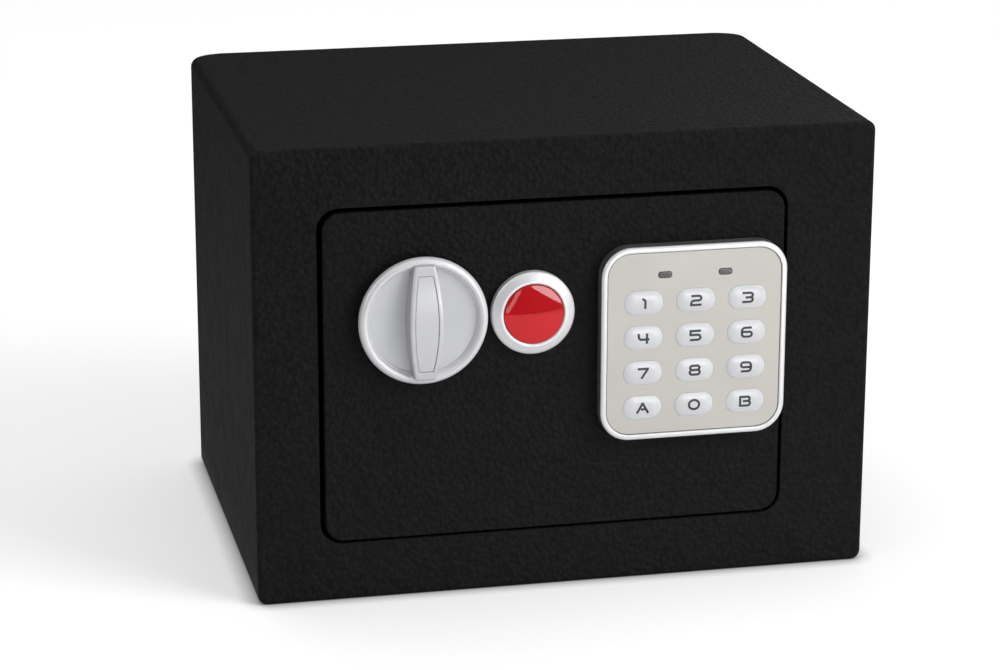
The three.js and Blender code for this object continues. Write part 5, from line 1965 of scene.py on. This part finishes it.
    def inlay(self) -> None:
        """Moulds the panel that lies in the grip's recess."""
        skin = Skin()
        border, end = self.border + self.inlay_gap, self.end_border + self.inlay_gap
        rings = [self.crowned(skin, self.plan(border, end), self.recess - self.inlay_under)]
        for inset, drop in rolled(self.inlay_edge, 3):
            outline = self.plan(border + inset, end + inset)
            rings.append(self.crowned(skin, outline, self.sunk + drop))
        skin.wall(rings)
        skin.rungs(rings[0], rings[-1])
        settle(skin.finish("knob_panel", SILVER_PALE, self.grip_crease), "knob_inlay")

    def shaft(self) -> None:
        """Turns the spindle, and the flanged nylon bush in which it runs."""
        place = Place.of("knob_spindle")
        turned("knob_spindle", STEEL, stepped(0.0, place.near, (self.spindle, place.far)))
        place = Place.of("spindle_bush")
        lengths = ((self.bush, place.far - self.bush_lip), (self.bush_flange, place.far))
        sleeve = stepped(self.spindle + RUNNING_PLAY, place.near, *lengths)
        turned("spindle_bush", NYLON, sleeve, hollow=True)


# Works behind the door


@dataclass
class Boltwork:
    """The carrier with its two round bolts, and the studs on which it slides."""

    bolt: float = 6.0
    chamfer: float = 1.0
    neck: float = 3.4
    flange_x: float = -68.965
    carrier_sheet: float = 2.0
    rivet: float = 5.0
    rivet_height: float = 1.2
    stud: float = 2.5
    collar: float = 4.0
    stud_head: float = 4.4
    stud_gap: float = 0.4

    def build(self) -> None:
        """Makes the carrier, its bolts and its studs."""
        fine_copy("bolt_carrier", ZINC)
        for node in ("bolt_upper", "bolt_lower"):
            place = Place.of(node)
            rivet_x = self.flange_x + self.carrier_sheet
            profile = [
                (0.0, place.left),
                (self.bolt - self.chamfer, place.left),
                (self.bolt, place.left + self.chamfer),
                (self.bolt, self.flange_x),
                (self.neck, self.flange_x),
                (self.neck, rivet_x),
                (self.rivet, rivet_x),
                (self.neck, rivet_x + self.rivet_height),
                (0.0, rivet_x + self.rivet_height),
            ]
            turned(node, STEEL_ACROSS, profile, Run.ACROSS)
        carrier = Place.of("bolt_carrier")
        for node in ("guide_stud_lower", "guide_stud_upper"):
            place = Place.of(node)
            collar = carrier.near - self.stud_gap
            head = carrier.near + self.carrier_sheet + self.stud_gap
            lengths = ((self.collar, collar), (self.stud, head), (self.stud_head, place.far))
            turned(node, STEEL, stepped(0.0, place.near, *lengths))


@dataclass
class OverrideLock:
    """The ring, red cap, barrel, nut, plug and tail of the lock that opens the safe without power."""

    ring_inner: float = 11.15
    ring_edge: float = 2.6
    foot_slope: float = 0.55
    land: float = 0.65
    bevel: float = 0.45
    cap_dome: float = 0.9
    cap_rings: int = 12
    cap_edge: float = 1.1
    cap_roll: float = 0.35
    cap_roll_share: float = 0.8
    cap_foot: float = 0.2
    cap_crease: float = 50.0
    head: float = 3.0
    head_gap: float = 0.3
    barrel: float = 8.9
    plug: float = 5.4
    stub: float = 3.0
    stub_length: float = 3.5
    keyway_width: float = 1.4
    keyway_height: float = 7.4
    keyway_corner: float = 0.3
    keyway_depth: float = 6.0
    ring_ease: float = 0.14
    nut_edge: float = 0.35

    def build(self) -> None:
        """Makes the lock from its ring to its tail."""
        self.ring()
        self.cap()
        self.barrel_and_plug()
        fine_copy("lock_nut", ZINC, self.nut_edge)
        fine_copy("lock_tail", ZINC)

    def ring(self) -> None:
        """Turns the ring: a low foot, a long cone and a bright bevel inside."""
        place = Place.of("lock_escutcheon")
        outer = (place.right - place.left) / 2
        top, base = place.near, place.far
        profile = [
            (self.ring_inner, base),
            (outer, base),
            (outer, base - self.ring_edge),
            (outer - self.foot_slope, base - self.ring_edge - self.foot_slope),
            (self.ring_inner + self.bevel + self.land, top),
            (self.ring_inner + self.bevel, top),
            (self.ring_inner, top + self.bevel),
        ]
        ease = self.ring_ease
        turned("lock_escutcheon", RING_METAL, profile, hollow=True, ease=ease, steps=160)

    def cap(self) -> None:
        """Casts the cap, a shallow dome over a rolled edge."""
        place = Place.of("lock_cap")
        radius, roll, foot = (place.right - place.left) / 2, self.cap_roll, self.cap_foot
        sphere = (radius**2 + self.cap_dome**2) / (2 * self.cap_dome)
        middle = place.far - self.cap_edge - self.cap_dome + sphere
        start = math.asin((radius - roll) / sphere)
        angles = [start * (1 - i / self.cap_rings) for i in range(self.cap_rings + 1)]
        dome = [(sphere * math.sin(a), middle - sphere * math.cos(a)) for a in angles]
        corner = (radius - roll, dome[0][1] + roll)
        bend = arc(corner, roll, 0.0, self.cap_roll_share * QUARTER, 4, -roll)
        base = [(0.0, place.far), (radius - foot, place.far), (radius, place.far - foot)]
        skin = Skin()
        skin.turn([*base, *bend, *dome], (place.x, place.z), 128)
        settle(skin.finish("lock_cap_dome", RED_RESIN, self.cap_crease), "lock_cap")

    def barrel_and_plug(self) -> None:
        """Turns the barrel, and the plug with its keyway and stub."""
        place = Place.of("lock_body")
        flange = (self.ring_inner - self.head_gap, place.near + self.head)
        barrel = stepped(self.plug + RUNNING_PLAY, place.near, flange, (self.barrel, place.far))
        turned("lock_body", STEEL, barrel, hollow=True)
        place = Place.of("lock_plug")
        lengths = ((self.plug, place.far - self.stub_length), (self.stub, place.far))
        profile = stepped(0.0, place.near, *lengths)
        size = (self.keyway_width, self.keyway_height, self.keyway_corner)
        slot = Rounded((place.x, place.z), *size, steps=3)
        drill = Skin()
        drill.slab(slot, place.near - OVERCUT, place.near + self.keyway_depth)
        turned("lock_plug", BRASS, profile, drill=drill)


@dataclass
class Solenoid:
    """The solenoid's frame, coil and sprung plunger, which hold the carrier."""

    plunger: float = 3.0
    collar: float = 5.5
    collar_bottom: float = 115.0
    collar_height: float = 1.3
    coil: float = 6.5
    waist: float = 5.9
    flange: float = 1.3
    bore_gap: float = 0.4
    spring_wire: float = 0.35
    spring_turns: float = 4.0
    spring_keep: float = 0.62

    def build(self) -> None:
        """Makes the four pieces."""
        fine_copy("solenoid_frame", ZINC)
        place = Place.of("solenoid_coil")
        lengths = (
            (self.coil, place.bottom + self.flange),
            (self.waist, place.top - self.flange),
            (self.coil, place.top),
        )
        spool = stepped(self.plunger + self.bore_gap, place.bottom, *lengths)
        turned("solenoid_coil", COPPER, spool, Run.UPRIGHT, hollow=True)
        place = Place.of("solenoid_plunger")
        collar_top = self.collar_bottom + self.collar_height
        lengths = (
            (self.plunger, self.collar_bottom),
            (self.collar, collar_top),
            (self.plunger, place.top),
        )
        rod = stepped(0.0, place.bottom, *lengths)
        turned("solenoid_plunger", STEEL_UPRIGHT, rod, Run.UPRIGHT)
        self.spring(place, collar_top)

    def spring(self, plunger: Place, low: float) -> None:
        """Winds the spring between the plunger's collar and the frame.

        Args:
            plunger: the plunger's place.
            low: the top of the plunger's collar.
        """
        frame_bottom, wire = Place.of("solenoid_frame").bottom, self.spring_wire
        base = low + 2 * wire
        seed = plain_mesh("spring place", [Skin().spot(plunger.x, base, plunger.depth)])
        data = coil_tree().grow(
            seed,
            Turns=self.spring_turns,
            Radius=(self.plunger + self.bore_gap + 2 * wire) * MM,
            Height=(frame_bottom - 2 * wire - base) * MM,
            Wire=wire * MM,
            Material=dressed(STEEL_UPRIGHT),
        )
        coil = settle(placed("plunger_coil", data, STEEL_UPRIGHT), "plunger_spring")
        anchor = Skin().spot(plunger.x, frame_bottom, plunger.depth)
        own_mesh(coil)


@dataclass
class BatteryBay:
    """The tray with its four cells, the lid, and the code reset button."""

    wall: float = 1.4
    flange: float = 2.5
    window_corner: float = 0.02
    tray_edge: float = 0.3
    cell: float = 7.1
    cell_ease: float = 0.5
    end_inset: float = 1.2
    end_rise: float = 0.1
    nub: float = 2.7
    nub_length: float = 1.0
    nub_ease: float = 0.3
    nub_foot: Point = (0.6, 0.15)
    sleeve_end: float = 0.9
    lid_radius: float = 2.0
    lid_edge: float = 0.45
    lid_gap: float = 0.03
    lip_gap: float = 0.3
    lip_wall: float = 1.2
    lip_corner: float = 0.6
    lip_inner_corner: float = 0.4
    lip_edge: float = 0.2
    lip_inner_edge: float = 0.1
    fused: float = 0.3
    tab_width: float = 14.0
    tab_height: float = 3.0
    tab_drop: float = 4.5
    tab_rise: float = 2.0
    tab_corner: float = 1.0
    tab_edge: float = 0.5
    switch_edge: float = 0.2
    button: float = 2.2
    button_round: float = 0.6

    def build(self) -> None:
        """Makes the tray, cells, lid, switch and button."""
        fine_copy("battery_tray", BLACK_PLASTIC, self.tray_edge)
        for number in range(1, 5):
            self.battery(f"battery_{number}", up=number % 2 == 1)
        self.lid()
        fine_copy("reset_switch", BLACK_PLASTIC, self.switch_edge)
        place, soft = Place.of("reset_button"), self.button_round
        crown = arc((self.button - soft, place.far - soft), soft, 0.0, QUARTER, 5)
        skin = Skin()
        profile = [(0.0, place.near), (self.button, place.near), *crown, (0.0, place.far)]
        skin.turn(profile, (place.x, place.z), 48)
        settle(skin.finish("reset_cap", RED_PLASTIC), "reset_button")

    def window(self) -> Rounded:
        """The opening over the cells, in the cover and the tray.

        Returns:
            The opening.
        """
        tray = Place.of("battery_tray")
        inside = tray.rounded(0.0, 1).widened(-self.wall - self.flange)
        return replace(inside, radius=self.window_corner)

    def battery(self, node: str, up: bool) -> None:
        """Turns a cell with its sleeve, its steel ends and its nub.

        Args:
            node: the cell's node.
            up: whether its nub points up.
        """
        place = Place.of(node)
        sense = 1.0 if up else -1.0
        tip, base = (place.top, place.bottom) if up else (place.bottom, place.top)
        shoulder, ease = tip - sense * self.nub_length, self.cell_ease
        foot_out, foot_up = self.nub_foot
        profile = [
            (0.0, base),
            (self.cell - self.end_inset, base),
            (self.cell - ease, base + sense * self.end_rise),
            (self.cell, base + sense * (ease + self.end_rise)),
            (self.cell, shoulder - sense * ease),
            (self.cell - ease, shoulder),
            (self.nub + foot_out, shoulder),
            (self.nub, shoulder + sense * foot_up),
            (self.nub, tip - sense * self.nub_ease),
            (self.nub - self.nub_ease, tip),
            (0.0, tip),
        ]
        skin = Skin(Run.UPRIGHT)
        skin.turn(profile, (place.x, place.depth), 64)
        cell = settle(skin.finish(f"{node}_cell", SLEEVE), node)
        half = (place.top - place.bottom) / 2 - self.sleeve_end - self.nub_length
        repaint(cell, NICKEL, lambda middle: abs(middle.z / MM - place.z) > half)

    def lid(self) -> None:
        """Moulds the lid with its lip and its finger tab."""
        place, cover = Place.of("battery_cover"), Place.of("mechanism_cover")
        seat, back = cover.far + self.lid_gap, place.far - self.tab_rise
        skin = Skin()
        skin.slab(place.rounded(self.lid_radius), seat, back, back_roll=self.lid_edge)
        opening = self.window()
        lip = replace(opening.widened(-self.lip_gap), radius=self.lip_corner, steps=3)
        inner = replace(lip.widened(-self.lip_wall), radius=self.lip_inner_corner)
        lips = Skin()
        holes, edge = [inner], self.lip_inner_edge
        lips.slab(lip, place.near, seat + self.fused, self.lip_edge, holes, edge, back_roll=0.0)
        across, up = opening.centre
        centre = (across, up + opening.height / 2 - self.tab_drop)
        tab = Rounded(centre, self.tab_width, self.tab_height, self.tab_corner, 5)
        grip = Skin()
        grip.slab(tab, back - self.fused, place.far, back_roll=self.tab_edge)
        settle(skin.finish("battery_lid", BLACK_PLASTIC, joined=[lips, grip]), "battery_cover")


# Studio


@dataclass(frozen=True)
class Card:
    """A card that only shows in reflections, dark or glowing: where it stands and what it faces."""

    name: str
    spot: Spot
    target: Spot
    size: Point
    strength: float = 0.0
    roll: float = 0.0


@dataclass(frozen=True)
class Lamp:
    """A square soft lamp: where it hangs, and its power in watts."""

    name: str
    spot: Spot
    power: float


LAMPS = (Lamp("key lamp", (1.5, -1.3, 1.3), 28.0), Lamp("top lamp", (-0.3, 0.6, 1.9), 6.0))
CAP_FRONT = (-0.0135, -0.085, 0.1057)
CARDS = (
    Card("table edge", (0.0, -2.45, 0.004), (0.0, -2.45, 1.0), (6.0, 4.0)),
    Card("dark front", (0.0, -3.2, 1.3), (0.0, 0.0, 1.3), (6.0, 2.6)),
    Card("dark back", (-0.95, 0.9, 0.5), (-0.95, 0.0, 0.5), (3.0, 1.0), 0.02),
    Card("dark floor", (0.0, 0.65, 0.003), (0.0, 0.65, 1.0), (3.0, 0.5)),
    Card("dim left", (-0.87, 0.41, 0.003), (-0.87, 0.41, 1.0), (1.5, 0.99), 0.4),
    Card("left glow", (-1.9, -0.4, 0.9), (0.0, 0.0, 0.08), (0.9, 0.9), 3.0),
    Card("window", (0.1488, -0.4472, 0.099), CAP_FRONT, (0.235, 0.06), 12.5, 31.6),
    Card("left window", (-0.0205, -0.402, 0.0755), CAP_FRONT, (0.11, 0.013), 4.5, -60.0),
)


def rectangle(
    name: str, width: float, height: float, material: bpy.types.Material
) -> bpy.types.Object:
    """A flat rectangle about the origin that faces up.

    Args:
        name: its name.
        width: its width in metres.
        height: its height in metres.
        material: its material.

    Returns:
        The rectangle.
    """
    x, y = width / 2, height / 2
    corners = [(-x, -y, 0), (x, -y, 0), (x, y, 0), (-x, y, 0)]
    data = plain_mesh(name, corners, faces=[(0, 1, 2, 3)])
    data.materials.append(material)
    return bpy.data.objects.new(name, data)


def aimed(thing: bpy.types.Object, spot: Spot, way: Vector, front: str, roll: float = 0.0) -> None:
    """Puts a studio object in its place.

    Args:
        thing: the object.
        spot: where it stands.
        way: the direction in which it looks.
        front: the side of it that looks there, Z or -Z.
        roll: how far it is turned about that direction, in degrees.
    """
    facing = way.to_track_quat(front, "Y").to_matrix().to_4x4()
    leaned = facing @ Matrix.Rotation(math.radians(roll), 4, "Z")
    thing.matrix_world = Matrix.Translation(spot) @ leaned


@dataclass
class Studio:
    """A pale floor and backdrop, soft lamps, and the camera where the picture was taken from."""

    camera_spot: Spot = (-0.2614, -1.1431, 0.4239)
    azimuth: float = -12.57
    elevation: float = 16.82
    roll: float = 0.15
    lens: float = 112.9
    sensor: float = 36.0
    shift: Point = (0.00063, 0.00355)
    reach: Point = (0.01, 60.0)
    floor_size: float = 30.0
    floor_tone: float = 0.8
    floor_rough: float = 0.9
    floor_gloss: float = 0.1
    glow: float = 0.4
    contact: float = 0.007
    room: float = 0.5
    lit: Spot = (0.0, 0.0, 0.08)
    lamp_size: float = 1.2

    def build(self) -> None:
        """Sets the camera, the floor, the room's light, the lamps and the cards."""
        bpy.context.scene.view_settings.view_transform = "Standard"
        self.camera()
        self.floor()
        self.world()
        for lamp in LAMPS:
            self.lamp(lamp)
        for card in CARDS:
            self.card(card)
        LOG.info("studio set")

    def camera(self) -> None:
        """Puts the camera at the picture's viewpoint."""
        lens = bpy.data.cameras.new("camera")
        lens.lens, lens.sensor_width = self.lens, self.sensor
        lens.shift_x, lens.shift_y = self.shift
        lens.clip_start, lens.clip_end = self.reach
        camera = bpy.data.objects.new("camera", lens)
        turn, tilt = math.radians(self.azimuth), math.radians(self.elevation)
        level = math.cos(tilt)
        look = Vector((-math.sin(turn) * level, math.cos(turn) * level, -math.sin(tilt)))
        aimed(camera, self.camera_spot, look, "-Z", self.roll)
        self.add(camera)
        bpy.context.scene.camera = camera

    def add(self, thing: bpy.types.Object) -> None:
        """Links a studio object, which is no part of the safe."""
        bpy.context.scene.collection.objects.link(thing)

    def floor(self) -> None:
        """Lays a floor that shows white, keeps the safe's shadow, and carries a painted contact shade
        close to the safe.
        """
        paper = Recipe("paper floor", (self.floor_tone,) * 3, self.floor_rough)
        tone = (*(self.floor_tone,) * 3, 1.0)
        # Painted contact shade: an occlusion darkens the floor's colour and glow close to the safe.
        near = paper.node("AmbientOcclusion", Distance=self.contact, Color=tone)
        glow = paper.joined(paper.seen_share(0.0, self.glow), near.outputs["AO"], "MULTIPLY")
        paper.set(
            Base_Color=near.outputs["Color"],
            Specular_IOR_Level=self.floor_gloss,
            Emission_Color=WHITE,
            Emission_Strength=glow,
        )
        self.add(rectangle("floor", self.floor_size, self.floor_size, paper.material))

    def world(self) -> None:
        """Lights the room softly, and shows it white to the camera and in reflections."""
        world = bpy.data.worlds.new("room")
        bpy.context.scene.world = world
        world.use_nodes = True
        room = Wiring(world.node_tree)
        background = room.tree.nodes["Background"]
        room.feed(background.inputs["Strength"], room.seen_share(self.room, 1.0))
        room.feed(background.inputs["Color"], WHITE)

    def card(self, card: Card) -> None:
        """Stands a card that is seen in reflections alone.

        Args:
            card: the card.
        """
        face = Recipe(card.name, (0.0, 0.0, 0.0), 0.5)
        face.set(Specular_IOR_Level=0.0, Emission_Color=WHITE, Emission_Strength=card.strength)
        made = rectangle(card.name, *card.size, face.material)
        aimed(made, card.spot, Vector(card.target) - Vector(card.spot), "Z", card.roll)
        made.visible_camera = made.visible_diffuse = made.visible_shadow = False
        made.visible_transmission = False
        self.add(made)

    def lamp(self, lamp: Lamp) -> None:
        """Hangs a lamp that faces the safe.

        Args:
            lamp: the lamp.
        """
        light = bpy.data.lights.new(lamp.name, "AREA")
        light.size, light.energy = self.lamp_size, lamp.power
        made = bpy.data.objects.new(lamp.name, light)
        aimed(made, lamp.spot, Vector(self.lit) - Vector(lamp.spot), "-Z")
        self.add(made)


def main() -> None:
    """Builds the studio and the safe, assembly by assembly."""
    logging.basicConfig(level=logging.INFO, format="%(message)s")
    cabinet = (Cabinet, Hinges)
    door = (Door, Keypad, Knob, Boltwork, OverrideLock, Solenoid, BatteryBay)
    for assembly in (Studio, *cabinet, *door):
        LOG.info("making %s", assembly.__name__)
        assembly().build()
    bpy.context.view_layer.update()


if __name__ == "__main__":
    main()
